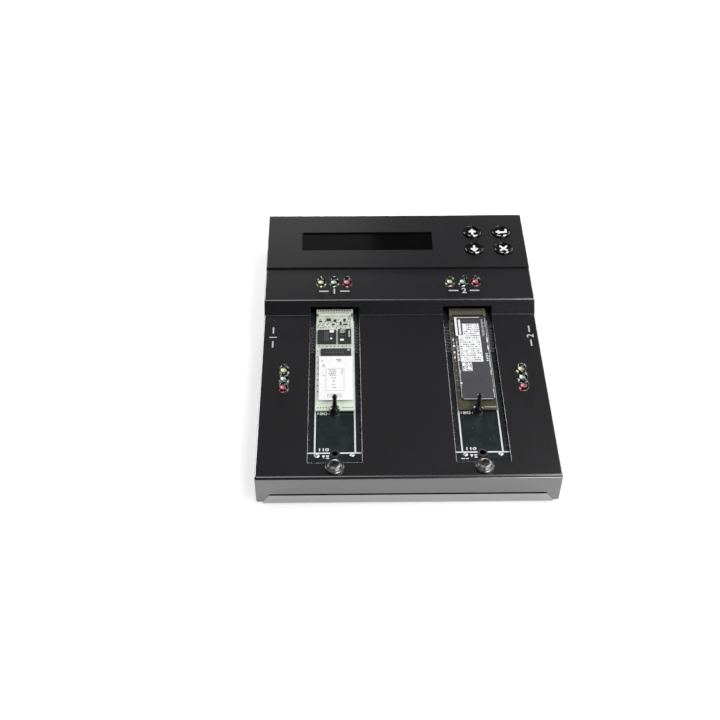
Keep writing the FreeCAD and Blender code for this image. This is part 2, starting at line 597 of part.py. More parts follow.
emit("led_board", lb)

# ------------------------------------------------------------------- display
LENS_Z0 = PANEL_Z - T - 0.9
emit("lcd_window", box(LCD_X - 44.5, LCD_X + 44.5, LCD_Y - 11.6, LCD_Y + 11.6, LENS_Z0, PANEL_Z - T))
LCD_PCB_TOP = 20.4
bz = box(LCD_X - 48.5, LCD_X + 48.5, LCD_Y - 12.6, LCD_Y + 12.6, LCD_PCB_TOP, LENS_Z0 - 0.1)
bz = bz.cut(box(LCD_X - 48.0, LCD_X + 48.0, LCD_Y - 12.1, LCD_Y + 12.1, LCD_PCB_TOP - 1, LENS_Z0 - 0.6))
bz = bz.cut(box(LCD_X - 41.5, LCD_X + 41.5, LCD_Y - 9.3, LCD_Y + 9.3, LCD_PCB_TOP, LENS_Z0 + 1))
emit("lcd_bezel", bz)
emit("lcd_glass", box(LCD_X - 47.5, LCD_X + 47.5, LCD_Y - 11.8, LCD_Y + 11.8, LENS_Z0 - 2.8, LENS_Z0 - 0.62))
emit("lcd_backlight", box(LCD_X - 47.0, LCD_X + 47.0, LCD_Y - 11.4, LCD_Y + 11.4, LCD_PCB_TOP + 0.05, LENS_Z0 - 2.85))
lp = box(LCD_X - 58, LCD_X + 58, LCD_Y - 18.5, LCD_Y + 18.5, LCD_PCB_TOP - BOARD_T, LCD_PCB_TOP)
LCD_HOLES = [(LCD_X - 55.5, LCD_Y - 16), (LCD_X + 55.5, LCD_Y - 16), (LCD_X - 55.5, LCD_Y + 16), (LCD_X + 55.5, LCD_Y + 16)]
for x, y in LCD_HOLES:
    lp = lp.cut(cyl(x, y, 10, 30, 1.6))
emit("lcd_board", lp)

# -------------------------------------------------------------------- keypad
KB_TOP = 22.5
kb = box(42.0, 77.0, 168.6, 204.6, KB_TOP - BOARD_T, KB_TOP)
KX = (KEY_X[0] + KEY_X[1]) / 2.0
KB_HOLES = [(KX, 171.0), (KX, (KEY_Y[0] + KEY_Y[1]) / 2.0), (KX, 201.8)]
for x, y in KB_HOLES:
    kb = kb.cut(cyl(x, y, 10, 30, 1.6))
emit("keypad_board", kb)
sw = []
for x in KEY_X:
    for y in KEY_Y:
        b = box(x - 3, x + 3, y - 3, y + 3, KB_TOP, KB_TOP + 3.5)
        sw.append(b.cut(cyl(x, y, KB_TOP + 0.4, KB_TOP + 5, 1.8)))
emit("tact_switches", sw)


def key(x, y):
    """Key cap: stem, retaining flange, straight wall, rounded rim and dished top."""
    under = PANEL_Z - T
    wall = PANEL_Z + 0.45
    pts = [(0, 24.7), (1.72, 24.7), (1.75, 24.8), (1.75, under - 1.1), (6.7, under - 1.1), (6.7, under - 0.1), (KEY_R, under - 0.1), (KEY_R, wall)]
    for i in range(1, 6):
        a = math.radians(90.0 * i / 5)
        pts.append((KEY_R - KEY_RIM + KEY_RIM * math.cos(a), wall + KEY_RIM * math.sin(a)))
    n = 8
    edge = KEY_R - KEY_RIM
    for i in range(1, n + 1):
        r = edge * (1 - i / float(n))
        pts.append((r, wall + KEY_RIM - KEY_DISH * (1 - (r / edge) ** 2)))
    return revolve(pts, x, y)


emit("button_up", key(KEY_X[0], KEY_Y[1]))
emit("button_down", key(KEY_X[0], KEY_Y[0]))
emit("button_enter", key(KEY_X[1], KEY_Y[1]))
emit("button_cancel", key(KEY_X[1], KEY_Y[0]))

cover_posts = []
for x, y in LCD_HOLES:
    cover_posts.append(hex_post(x, y, LCD_PCB_TOP, PANEL_Z - T, 5.0, 1.5))
    board_screws.append(pan_screw(x, y, LCD_PCB_TOP - BOARD_T, 4.0, up=False))
for x, y in KB_HOLES:
    cover_posts.append(hex_post(x, y, KB_TOP, PANEL_Z - T, 5.0, 1.5))
    board_screws.append(pan_screw(x, y, KB_TOP - BOARD_T, 4.0, up=False))
for x, y in LB_HOLES:
    cover_posts.append(hex_post(x, y, LB_TOP, LEDGE_Z - T, 5.0, 1.5))
    board_screws.append(pan_screw(x, y, LB_TOP - BOARD_T, 4.0, up=False))
emit("cover_standoffs", cover_posts)
emit("board_screws", board_screws)

# ------------------------------------------------------------ ribbon cables
LPU = LCD_PCB_TOP - BOARD_T
KBU = KB_TOP - BOARD_T
rib = [
    strip([(179.0, LPU), (179.0, 11.5), (168.0, 11.5), (168.0, MAIN_TOP)], 0.9, 2.0, LCD_X - 42, LCD_X - 22),
    strip([(172.6, KBU), (172.6, 12.5), (163.0, 12.5), (163.0, MAIN_TOP)], 0.9, 2.0, 62.5, 73.5),
    strip([(146.0, LB_TOP - BOARD_T), (146.0, 13.0), (156.0, 13.0), (156.0, MAIN_TOP)], 0.9, 2.0, 8.0, 20.0),
]
emit("ribbon_cables", rib)

# ------------------------------------------------------------- rear fittings
jk = box(JACK_X - 4.6, JACK_X + 4.6, REAR_Y - 15.0, REAR_Y - T - 0.1, MAIN_TOP, JACK_Z + 4.6)
jk = jk.fuse(cyl_y(JACK_X, REAR_Y - T - 0.2, REAR_Y - 0.2, JACK_Z, 4.0)).removeSplitter()
jk = jk.cut(cyl_y(JACK_X, REAR_Y - 10.5, REAR_Y + 1, JACK_Z, 3.15))
jk = jk.cut(cyl_y(JACK_X, REAR_Y - 11.2, REAR_Y - 10.4, JACK_Z, 1.02))
emit("dc_jack", jk)
pin = cyl_y(JACK_X, REAR_Y - 11.2, REAR_Y - 2.0, JACK_Z, 1.0)
tip = [e for e in pin.Edges if e.BoundBox.YMin > REAR_Y - 2.1]
emit("dc_jack_pin", pin.makeFillet(0.5, tip))

hs = box(SW_X - 10.5, SW_X + 10.5, REAR_Y, REAR_Y + SW_FRAME, SW_Z - 7.5, SW_Z + 7.5)
hs = hs.makeFillet(0.5, [e for e in hs.Edges if e.BoundBox.YMin > REAR_Y + SW_FRAME - 0.01])
hs = hs.fuse(box(SW_X - 9.6, SW_X + 9.6, REAR_Y - 13.0, REAR_Y, SW_Z - 6.45, SW_Z + 6.45)).removeSplitter()
hs = hs.cut(box(SW_X - 9.08, SW_X + 9.08, REAR_Y - 11.0, REAR_Y + 3, SW_Z - 5.1, SW_Z + 5.1))
hs = hs.cut(Part.makeCylinder(1.05, 20, V(SW_X, SW_PIVOT_Y, SW_Z - 10), V(0, 0, 1)))
TERM_X = (-5.2, 5.2)
for dx in TERM_X:
    hs = hs.cut(box(SW_X + dx - 2.4, SW_X + dx + 2.4, REAR_Y - 14, REAR_Y - 10.5, SW_Z - 0.4, SW_Z + 0.4))
emit("power_switch_housing", hs)

rk = Part.makeCylinder(9.0, 10.0, V(0, 0, -5.0), V(0, 0, 1))
keep = prism([(-12, -1.2, -6), (12, -1.2, -6), (12, 6.0, -6), (6.8, 5.35, -6), (0, 4.55, -6), (-6.8, 5.35, -6), (-12, 6.0, -6)], (0, 0, 12))
rk = rk.common(keep)
rk = rk.fuse(Part.makeCylinder(1.0, 12.0, V(0, 0, -6.0), V(0, 0, 1))).removeSplitter()
rk.rotate(V(0, 0, 0), V(0, 0, 1), -SW_TILT)
rk.translate(V(SW_X, SW_PIVOT_Y, SW_Z))
emit("power_rocker", rk)
emit("switch_terminals", [box(SW_X + dx - 2.4, SW_X + dx + 2.4, REAR_Y - 20.0, REAR_Y - 11.0, SW_Z - 0.4, SW_Z + 0.4) for dx in TERM_X])

leads = []
for dx in TERM_X:
    x = SW_X + dx
    y_in = REAR_Y - 30.5
    p = [V(x, REAR_Y - 20.0, SW_Z), V(x, y_in, SW_Z), V(x, y_in, MAIN_TOP)]
    r = 3.0
    a = V(x, y_in + r, SW_Z)
    b = V(x, y_in, SW_Z - r)
    mid = V(x, y_in + r - r * math.sin(math.radians(45)), SW_Z - r + r * math.cos(math.radians(45)))
    w = Part.Wire([Part.LineSegment(p[0], a).toShape(), Part.Arc(a, mid, b).toShape(), Part.LineSegment(b, p[2]).toShape()])
    prof = Part.Wire([Part.Circle(p[0], V(0, -1, 0), 0.85).toShape()])
    leads.append(w.makePipeShell([prof], True, False))
emit("switch_leads", leads)

total = sum(i[2] for i in INFO)
lo = [min(i[3].XMin for i in INFO), min(i[3].YMin for i in INFO), min(i[3].ZMin for i in INFO)]
hi = [max(i[3].XMax for i in INFO), max(i[3].YMax for i in INFO), max(i[3].ZMax for i in INFO)]
print("shift", round(SHIFT.y, 4), "depth", round(OVERALL_D, 4))
print(len(INFO), "nodes,", sum(i[1] for i in INFO), "solids, box", [round(v, 3) for v in lo], [round(v, 3) for v in hi])
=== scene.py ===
import bpy
import bmesh
import math
import random
from mathutils import Vector, Matrix


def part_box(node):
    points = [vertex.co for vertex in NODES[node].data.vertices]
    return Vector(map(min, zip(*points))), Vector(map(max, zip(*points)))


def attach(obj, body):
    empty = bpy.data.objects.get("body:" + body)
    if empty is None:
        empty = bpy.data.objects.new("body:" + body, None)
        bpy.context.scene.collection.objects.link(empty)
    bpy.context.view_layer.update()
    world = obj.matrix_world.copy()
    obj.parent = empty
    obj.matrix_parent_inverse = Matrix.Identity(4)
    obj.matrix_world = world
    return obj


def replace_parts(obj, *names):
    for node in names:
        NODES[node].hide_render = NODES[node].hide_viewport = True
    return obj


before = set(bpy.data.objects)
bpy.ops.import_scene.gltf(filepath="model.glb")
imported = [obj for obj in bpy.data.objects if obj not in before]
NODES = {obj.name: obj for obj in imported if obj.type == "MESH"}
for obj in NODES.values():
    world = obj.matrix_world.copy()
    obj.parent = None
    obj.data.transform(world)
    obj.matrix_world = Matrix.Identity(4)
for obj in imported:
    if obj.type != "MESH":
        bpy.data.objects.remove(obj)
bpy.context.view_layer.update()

MM = 0.001
Y0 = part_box("deck_cover")[0].y            # front face of the casing
DECK = 0.0218
LEDGE = 0.0284
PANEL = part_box("panel_cover")[1].z
rnd = random.Random(7)


def pt(x, y, z):
    """Casing coordinates in mm (y from the front face) to the frame, in metres."""
    return Vector((x * MM, Y0 + y * MM, z * MM))


# ---------------------------------------------------------------- camera, light
cam_data = bpy.data.cameras.new("camera")
cam_data.sensor_width = 36.0
cam_data.lens = 57.243
cam_data.clip_start, cam_data.clip_end = 0.01, 20.0
cam = bpy.data.objects.new("camera", cam_data)
bpy.context.scene.collection.objects.link(cam)
bpy.context.scene.camera = cam
pitch, yaw, roll = math.radians(45.654), math.radians(-1.167), math.radians(0.434)
fwd = Vector((-math.sin(yaw) * math.cos(pitch), math.cos(yaw) * math.cos(pitch), -math.sin(pitch)))
right = Vector((math.cos(yaw), math.sin(yaw), 0.0))
up = right.cross(fwd)
right2 = math.cos(roll) * right + math.sin(roll) * up
up2 = -math.sin(roll) * right + math.cos(roll) * up
m = Matrix((right2, up2, -fwd)).transposed().to_4x4()
m.translation = pt(-34.30, -379.26, 499.65)
cam.matrix_world = m

scene = bpy.context.scene
scene.view_settings.view_transform = "Standard"
scene.view_settings.look = "None"
scene.view_settings.exposure = 0.0
scene.view_settings.gamma = 1.0

world = bpy.data.worlds.new("studio")
scene.world = world
world.use_nodes = True
world.node_tree.nodes["Background"].inputs["Color"].default_value = (0.93, 0.95, 1.0, 1)
world.node_tree.nodes["Background"].inputs["Strength"].default_value = 0.022


def area(name, loc, aim, size, power, size_y=None, color=(1, 1, 1)):
    d = bpy.data.lights.new(name, "AREA")
    d.energy = power
    d.color = color
    d.shape = "RECTANGLE"
    d.size = size
    d.size_y = size_y or size
    o = bpy.data.objects.new(name, d)
    scene.collection.objects.link(o)
    o.location = loc
    o.rotation_mode = "QUATERNION"
    o.rotation_quaternion = (Vector(aim) - Vector(loc)).to_track_quat("-Z", "Y")
    return o


def sky(az, el, dist=1.2):
    """Point at a compass angle (from +Y towards +X) and height angle, in degrees."""
    a, e = math.radians(az), math.radians(el)
    return (dist * math.sin(a) * math.cos(e), dist * math.cos(a) * math.cos(e), dist * math.sin(e))


area("soft_top", (0.70, -0.04, 1.27), (0, 0, 0), 1.4, 14.5, 0.80)
area("soft_fill", (-0.30, 0.0, 1.35), (0, 0, 0), 0.80, 2.6, 0.7)
area("side_left", (-0.96, 0.60, 0.36), (0, 0, 0.02), 0.70, 9.5, 0.38)
area("side_right", (0.96, 0.60, 0.36), (0, 0, 0.02), 0.70, 8.5, 0.38)
area("soft_back", (0.0, 0.95, 0.95), (0, 0, 0), 2.0, 0.17, 0.90)
area("glint_left", (-0.01, 1.20, 0.25), (0, 0, 0.02), 0.34, 3.6, 0.15)
area("glint_right", (0.345, 1.180, 0.182), (0, 0, 0.02), 0.16, 0.45, 0.10)
area("back_left", sky(-14, 31), (0, 0, 0.02), 0.50, 0.14, 0.40)
area("back_right", sky(22, 31), (0, 0, 0.02), 0.40, 0.035, 0.40)
area("front_low", (0.60, -1.0, 0.27), (0, 0, 0.02), 0.9, 7.2, 0.26)


# -------------------------------------------------------------------- materials
def new_mat(name):
    m = bpy.data.materials.new(name)
    m.use_nodes = True
    nt = m.node_tree
    return m, nt, nt.nodes["Principled BSDF"]


def node(nt, kind, **kw):
    n = nt.nodes.new(kind)
    for k, v in kw.items():
        setattr(n, k, v)
    return n


def coords(nt, scale=(1000, 1000, 1000), rot=(0, 0, 0)):
    """Object coordinates in millimetres."""
    tc = node(nt, "ShaderNodeTexCoord")
    mp = node(nt, "ShaderNodeMapping")
    mp.inputs["Scale"].default_value = scale
    mp.inputs["Rotation"].default_value = rot
    nt.links.new(tc.outputs["Object"], mp.inputs["Vector"])
    return mp.outputs["Vector"]


def noise(nt, vec, scale, detail=3.0, rough=0.55):
    n = node(nt, "ShaderNodeTexNoise")
    n.inputs["Scale"].default_value = scale
    n.inputs["Detail"].default_value = detail
    n.inputs["Roughness"].default_value = rough
    nt.links.new(vec, n.inputs["Vector"])
    return n.outputs["Fac"]


def ramp(nt, fac, stops):
    r = node(nt, "ShaderNodeValToRGB")
    while len(r.color_ramp.elements) < len(stops):
        r.color_ramp.elements.new(0.5)
    for e, (p, c) in zip(r.color_ramp.elements, stops):
        e.position = p
        e.color = c if len(c) == 4 else (*c, 1)
    nt.links.new(fac, r.inputs["Fac"])
    return r.outputs["Color"]


def maprange(nt, v, a, b, c, d):
    n = node(nt, "ShaderNodeMapRange")
    n.inputs["From Min"].default_value = a
    n.inputs["From Max"].default_value = b
    n.inputs["To Min"].default_value = c
    n.inputs["To Max"].default_value = d
    nt.links.new(v, n.inputs["Value"])
    return n.outputs["Result"]


def mix(nt, fac, a, b, blend="MIX"):
    n = node(nt, "ShaderNodeMix", data_type="RGBA", blend_type=blend)
    if isinstance(fac, float):
        n.inputs[0].default_value = fac
    else:
        nt.links.new(fac, n.inputs[0])
    for sock, v in ((n.inputs[6], a), (n.inputs[7], b)):
        if hasattr(v, "is_output"):
            nt.links.new(v, sock)
        else:
            sock.default_value = (*v, 1) if len(v) == 3 else v
    return n.outputs[2]


def bump(nt, b, height, strength, dist, normal=None):
    n = node(nt, "ShaderNodeBump")
    n.inputs["Strength"].default_value = strength
    n.inputs["Distance"].default_value = dist
    nt.links.new(height, n.inputs["Height"])
    if normal is not None:
        nt.links.new(normal, n.inputs["Normal"])
    if b is not None:
        nt.links.new(n.outputs["Normal"], b.inputs["Normal"])
    return n.outputs["Normal"]


def hexc(r, g, b):
    """sRGB 0-255 to linear."""
    return tuple(((c / 255) / 12.92 if c / 255 <= 0.04045 else ((c / 255 + 0.055) / 1.055) ** 2.4) for c in (r, g, b))


def powder(name, lo, hi, rough=(0.40, 0.52), spec=0.5, ior=1.5, bump_s=0.28):
    m, nt, b = new_mat(name)
    v = coords(nt)
    big = noise(nt, v, 0.035, 4.0)
    grain = noise(nt, v, 2.6, 2.0, 0.6)
    peel = noise(nt, v, 0.9, 2.0, 0.5)
    col = ramp(nt, big, [(0.30, lo), (0.72, hi)])
    col = mix(nt, maprange(nt, grain, 0.35, 0.7, 0.0, 0.35), col, tuple(c * 1.7 for c in hi))
    nt.links.new(col, b.inputs["Base Color"])
    nt.links.new(maprange(nt, grain, 0.3, 0.7, rough[0], rough[1]), b.inputs["Roughness"])
    b.inputs["Specular IOR Level"].default_value = spec
    b.inputs["IOR"].default_value = ior
    n1 = bump(nt, None, peel, bump_s * 0.5, 0.00006)
    bump(nt, b, grain, bump_s, 0.00003, n1)
    return m


def moulded(name, base, rough=0.4, var=0.15, grain_scale=3.0, bump_s=0.15, spec=0.5, coat=0.0, tint=None):
    """Moulded plastic or rubber: slight blotches, fine grain, uneven gloss."""
    m, nt, b = new_mat(name)
    v = coords(nt)
    big = noise(nt, v, 0.25, 3.0)
    grain = noise(nt, v, grain_scale, 2.0)
    a = tuple(c * (1 - var) for c in base)
    c2 = tuple(min(1, c * (1 + var)) for c in (tint or base))
    nt.links.new(ramp(nt, big, [(0.3, a), (0.7, c2)]), b.inputs["Base Color"])
    nt.links.new(maprange(nt, grain, 0.25, 0.75, rough * 0.85, min(1, rough * 1.2)), b.inputs["Roughness"])
    b.inputs["Specular IOR Level"].default_value = spec
    if coat:
        b.inputs["Coat Weight"].default_value = coat
        b.inputs["Coat Roughness"].default_value = 0.06
    bump(nt, b, grain, bump_s, 0.00002)
    return m


def metal(name, base, rough=0.3, brush=(0.3, 6, 6), var=0.12, bump_s=0.12):
    """Metal with fine directional marks."""
    m, nt, b = new_mat(name)
    v = coords(nt, tuple(1000 * k for k in brush))
    streak = noise(nt, v, 1.0, 4.0, 0.65)
    v2 = coords(nt)
    blot = noise(nt, v2, 0.5, 3.0)
    nt.links.new(ramp(nt, blot, [(0.3, tuple(c * (1 - var) for c in base)), (0.7, base)]), b.inputs["Base Color"])
    b.inputs["Metallic"].default_value = 1.0
    nt.links.new(maprange(nt, streak, 0.3, 0.7, rough * 0.7, rough * 1.35), b.inputs["Roughness"])
    bump(nt, b, streak, bump_s, 0.00002)
    return m


def laminate(name, mask, copper, rough=0.16, trace=0.5, spec=0.5, lines=(0.55, 0.9)):
    """Circuit board: coloured solder mask over copper traces and pours."""
    m, nt, b = new_mat(name)
    v = coords(nt)
    br = node(nt, "ShaderNodeTexBrick")
    br.offset = 0.35
    br.inputs["Scale"].default_value = 1.0
    br.inputs["Mortar Size"].default_value = 0.12
    br.inputs["Mortar Smooth"].default_value = 0.1
    br.inputs["Brick Width"].default_value = lines[1] * 6
    br.inputs["Row Height"].default_value = lines[0]
    br.inputs["Color1"].default_value = (0, 0, 0, 1)
    br.inputs["Color2"].default_value = (0.25, 0.25, 0.25, 1)
    br.inputs["Mortar"].default_value = (1, 1, 1, 1)
    nt.links.new(v, br.inputs["Vector"])
    region = noise(nt, v, 0.11, 1.0)
    gate = maprange(nt, region, 0.47, 0.53, 0.0, trace)
    mm = node(nt, "ShaderNodeMath", operation="MULTIPLY")
    nt.links.new(br.outputs["Color"], mm.inputs[0])
    nt.links.new(gate, mm.inputs[1])
    # vias
    vo = node(nt, "ShaderNodeTexVoronoi")
    vo.inputs["Scale"].default_value = 0.42
    nt.links.new(v, vo.inputs["Vector"])
    via = maprange(nt, vo.outputs["Distance"], 0.09, 0.12, 0.8, 0.0)
    mx = node(nt, "ShaderNodeMath", operation="MAXIMUM")
    nt.links.new(mm.outputs[0], mx.inputs[0])
    nt.links.new(via, mx.inputs[1])
    col = mix(nt, mx.outputs[0], mask, copper)
    nt.links.new(col, b.inputs["Base Color"])
    g = noise(nt, v, 1.4, 2.0)
    nt.links.new(maprange(nt, g, 0.3, 0.7, rough * 0.8, rough * 1.3), b.inputs["Roughness"])
    b.inputs["Specular IOR Level"].default_value = spec
    n1 = bump(nt, None, mx.outputs[0], 0.35, 0.00003)
    bump(nt, b, g, 0.04, 0.00004, n1)
    return m


def ink(name, base, rough=0.55):
    m, nt, b = new_mat(name)
    v = coords(nt)
    n = noise(nt, v, 3.5, 3.0, 0.7)
    nt.links.new(ramp(nt, n, [(0.25, tuple(c * 0.72 for c in base)), (0.55, base)]), b.inputs["Base Color"])
    b.inputs["Roughness"].default_value = rough
    bump(nt, b, n, 0.15, 0.00001)
    return m


MAT = {}
MAT["cover"] = powder("powder_coat_cover", (0.0040, 0.0038, 0.0048), (0.0058, 0.0055, 0.0070), (0.18, 0.24), 1.0, 1.85)
MAT["tray"] = powder("powder_coat_tray", (0.017, 0.0168, 0.018), (0.022, 0.0216, 0.023), (0.18, 0.24), 1.0, 2.45)
# stronger reflection on the front lip only, to bring it up to its brightness under these lights
nt_ = MAT["tray"].node_tree
sep_ = node(nt_, "ShaderNodeSeparateXYZ")
nt_.links.new(coords(nt_), sep_.inputs["Vector"])
bs_ = next(n for n in nt_.nodes if n.type == "BSDF_PRINCIPLED")
nt_.links.new(maprange(nt_, sep_.outputs["Y"], -102.0, -96.0, 2.45, 1.5), bs_.inputs["IOR"])
nt_.links.new(maprange(nt_, sep_.outputs["Y"], -102.0, -96.0, 1.0, 0.5), bs_.inputs["Specular IOR Level"])
MAT["rubber"] = moulded("foot_rubber", (0.022, 0.022, 0.023), 0.75, 0.2, 1.8, 0.35, 0.3)
MAT["peg"] = moulded("peg_elastomer", (0.006, 0.006, 0.007), 0.20, 0.2, 1.5, 0.06, 0.6)
MAT["screw"] = metal("black_zinc", (0.10, 0.10, 0.105), 0.38, (2, 2, 2))
MAT["nickel"] = metal("black_nickel", (0.22, 0.22, 0.225), 0.28, (3, 3, 0.4), 0.2, 0.08)
MAT["tin_dark"] = metal("tin_dull", (0.22, 0.22, 0.20), 0.34, (2, 2, 0.5))
MAT["zinc"] = metal("zinc_plate", (0.66, 0.66, 0.63), 0.3, (2, 2, 0.5))
MAT["brass"] = metal("tinned_brass", (0.78, 0.66, 0.42), 0.28, (2, 2, 0.5))
MAT["gold"] = metal("contact_gold", (0.85, 0.62, 0.26), 0.24, (4, 0.6, 2))
MAT["alu"] = metal("aluminium_fins", (0.74, 0.74, 0.75), 0.34, (0.5, 5, 5))
MAT["solder"] = metal("solder", (0.78, 0.78, 0.76), 0.32, (2, 2, 2), 0.2, 0.2)
MAT["mask_black"] = laminate("solder_mask_black", (0.0150, 0.0200, 0.0230), (0.0290, 0.0340, 0.0380), 0.20, 0.7, 0.7)
MAT["mask_green"] = laminate("solder_mask_green", (0.010, 0.085, 0.032), (0.03, 0.20, 0.08), 0.2, 0.8)
MAT["card_pale"] = laminate("card_laminate_pale", hexc(216, 226, 211), hexc(242, 245, 237), 0.3, 0.55, 0.45, (0.4, 0.7))
MAT["card_olive"] = laminate("card_laminate_olive", hexc(66, 65, 53), hexc(104, 100, 80), 0.3, 0.6, 0.45, (0.4, 0.7))
MAT["chip"] = moulded("chip_compound", (0.020, 0.022, 0.021), 0.42, 0.15, 5.0, 0.3, 0.5)
MAT["label_white"] = moulded("label_paper_white", (0.86, 0.86, 0.87), 0.5, 0.03, 4.0, 0.08, 0.4)
MAT["label_dark"] = moulded("label_film_dark", (0.062, 0.060, 0.069), 0.34, 0.08, 3.0, 0.08, 0.5)
MAT["label_edge"] = moulded("label_film_edge", (0.45, 0.45, 0.46), 0.4, 0.08, 3.0, 0.08, 0.5)
MAT["conn"] = moulded("connector_nylon", (0.018, 0.018, 0.019), 0.45, 0.15, 3.0, 0.25, 0.5)
MAT["ivory"] = moulded("connector_ivory", hexc(222, 228, 214), 0.45, 0.08, 2.5, 0.2, 0.4)
MAT["olive"] = moulded("connector_olive", hexc(92, 90, 76), 0.45, 0.08, 2.5, 0.2, 0.4)
MAT["nylon"] = moulded("spacer_nylon", (0.62, 0.62, 0.58), 0.5, 0.08, 2.0, 0.1, 0.4)
MAT["diffuser"] = moulded("diffuser_milky", (0.72, 0.73, 0.70), 0.4, 0.04, 2.0, 0.05, 0.4)
MAT["key"] = moulded("key_gloss_black", (0.005, 0.005, 0.0055), 0.09, 0.15, 0.8, 0.03, 0.6)
MAT["sleeve"] = moulded("capacitor_sleeve", (0.02, 0.022, 0.03), 0.3, 0.1, 2.0, 0.05, 0.5)
MAT["wire"] = moulded("wire_pvc_red", (0.38, 0.012, 0.012), 0.35, 0.1, 2.0, 0.08, 0.5)
MAT["ink"] = ink("print_white", hexc(206, 206, 208))
MAT["ink_key"] = ink("print_white_key", hexc(238, 238, 240), 0.4)
MAT["ink_board"] = ink("silk_white", hexc(244, 246, 244), 0.5)
MAT["ink_grey"] = ink("print_grey", hexc(196, 196, 200), 0.55)
MAT["ink_dark"] = ink("print_dark", hexc(92, 92, 96), 0.55)
MAT["ink_label"] = ink("print_label", hexc(168, 162, 174), 0.55)
MAT["ink_field"] = ink("print_field", hexc(242, 242, 243), 0.55)
MAT["brown"] = moulded("capacitor_brown", hexc(128, 118, 102), 0.4, 0.2, 3.0, 0.1, 0.4)

# smoked lens over the display
m, nt, b = new_mat("lens_smoked")
v = coords(nt)
nt.links.new(maprange(nt, noise(nt, v, 0.2, 3.0), 0.3, 0.7, 0.05, 0.10), b.inputs["Roughness"])
nt.links.new(ramp(nt, noise(nt, v, 0.08, 2.0), [(0.3, (0.0016, 0.0016, 0.0017)), (0.7, (0.0026, 0.0025, 0.0028))]), b.inputs["Base Color"])
b.inputs["Specular IOR Level"].default_value = 0.32
MAT["lens"] = m

# display glass with its faint character cells
m, nt, b = new_mat("display_cells")
v = coords(nt)
br = node(nt, "ShaderNodeTexBrick")
br.offset = 0.0
for k, val in (("Scale", 1.0), ("Mortar Size", 0.25), ("Brick Width", 3.7), ("Row Height", 5.95), ("Mortar Smooth", 0.0)):
    br.inputs[k].default_value = val
br.inputs["Color1"].default_value = (0.030, 0.038, 0.026, 1)
br.inputs["Color2"].default_value = (0.032, 0.040, 0.028, 1)
br.inputs["Mortar"].default_value = (0.045, 0.055, 0.038, 1)
nt.links.new(v, br.inputs["Vector"])
nt.links.new(br.outputs["Color"], b.inputs["Base Color"])
b.inputs["Roughness"].default_value = 0.08
MAT["display"] = m

# grey flat cable: its cores show as ribs along the run; the grooves between the ribs are darkened in the colour, a
# painted shade
m, nt, b = new_mat("flat_cable")
v = coords(nt)
wv = node(nt, "ShaderNodeTexWave", wave_type="BANDS", bands_direction="X", wave_profile="SIN")
wv.inputs["Scale"].default_value = 0.25
nt.links.new(v, wv.inputs["Vector"])
nt.links.new(ramp(nt, wv.outputs["Fac"], [(0.1, (0.20, 0.20, 0.21)), (0.6, (0.40, 0.40, 0.41))]), b.inputs["Base Color"])
b.inputs["Roughness"].default_value = 0.45
bump(nt, b, wv.outputs["Fac"], 0.8, 0.0002)
MAT["ribbon"] = m


def epoxy(name, col, rough=0.04):
    """Tinted clear lamp moulding."""
    m, nt, b = new_mat(name)
    v = coords(nt)
    n = noise(nt, v, 0.8, 2.0)
    nt.links.new(ramp(nt, n, [(0.3, tuple(c * 0.9 for c in col)), (0.7, col)]), b.inputs["Base Color"])
    b.inputs["Transmission Weight"].default_value = 1.0
    b.inputs["IOR"].default_value = 1.53
    b.inputs["Specular IOR Level"].default_value = 1.0
    b.inputs["Roughness"].default_value = rough
    return m


MAT["led_yellow"] = epoxy("epoxy_yellow", (0.93, 0.91, 0.56))
MAT["led_green"] = epoxy("epoxy_green", (0.70, 0.90, 0.80))
MAT["led_red"] = epoxy("epoxy_red", (0.80, 0.26, 0.33))

ASSIGN = {
    "deck_cover": "cover", "panel_cover": "cover", "base_tray": "tray", "rubber_feet": "rubber", "case_screws": "screw",
    "main_board": "mask_green", "main_board_standoffs": "zinc", "board_screws": "zinc", "controller_chip": "chip",
    "heat_sink": "alu", "board_chips": "chip", "power_capacitors": "sleeve", "buzzer": "conn",
    "sata_connector_left": "conn", "sata_connector_right": "conn", "adapter_board_left": "mask_black",
    "adapter_board_right": "mask_black", "adapter_standoffs": "zinc", "header_housings": "conn", "header_pins": "gold",
    "m2_connector_left": "ivory", "m2_connector_right": "olive", "card_sleeves": "tin_dark", "m2_card_left": "card_pale",
    "m2_card_left_chips": "chip", "m2_card_left_label": "label_white", "m2_card_right": "card_olive",
    "m2_card_right_chips": "chip", "m2_card_right_label": "label_dark", "retaining_peg_left": "peg",
    "retaining_peg_right": "peg", "thumb_screw_left": "nickel", "thumb_screw_right": "nickel", "thumb_screw_posts": "zinc",
    "leds_yellow": "led_yellow", "leds_green": "led_green", "leds_red": "led_red", "led_spacers": "nylon",
    "led_board": "mask_green", "lcd_window": "lens", "lcd_bezel": "screw", "lcd_glass": "display",
    "lcd_backlight": "diffuser", "lcd_board": "mask_green", "keypad_board": "mask_green", "tact_switches": "conn",
    "button_up": "key", "button_down": "key", "button_enter": "key", "button_cancel": "key", "cover_standoffs": "zinc",
    "ribbon_cables": "ribbon", "dc_jack": "conn", "dc_jack_pin": "brass", "power_switch_housing": "conn",
    "power_rocker": "key", "switch_terminals": "brass", "switch_leads": "wire",
}
for name, key in ASSIGN.items():
    o = NODES[name]
    if not o.material_slots:
        o.data.materials.append(MAT[key])
    for s in o.material_slots:
        s.material = MAT[key]

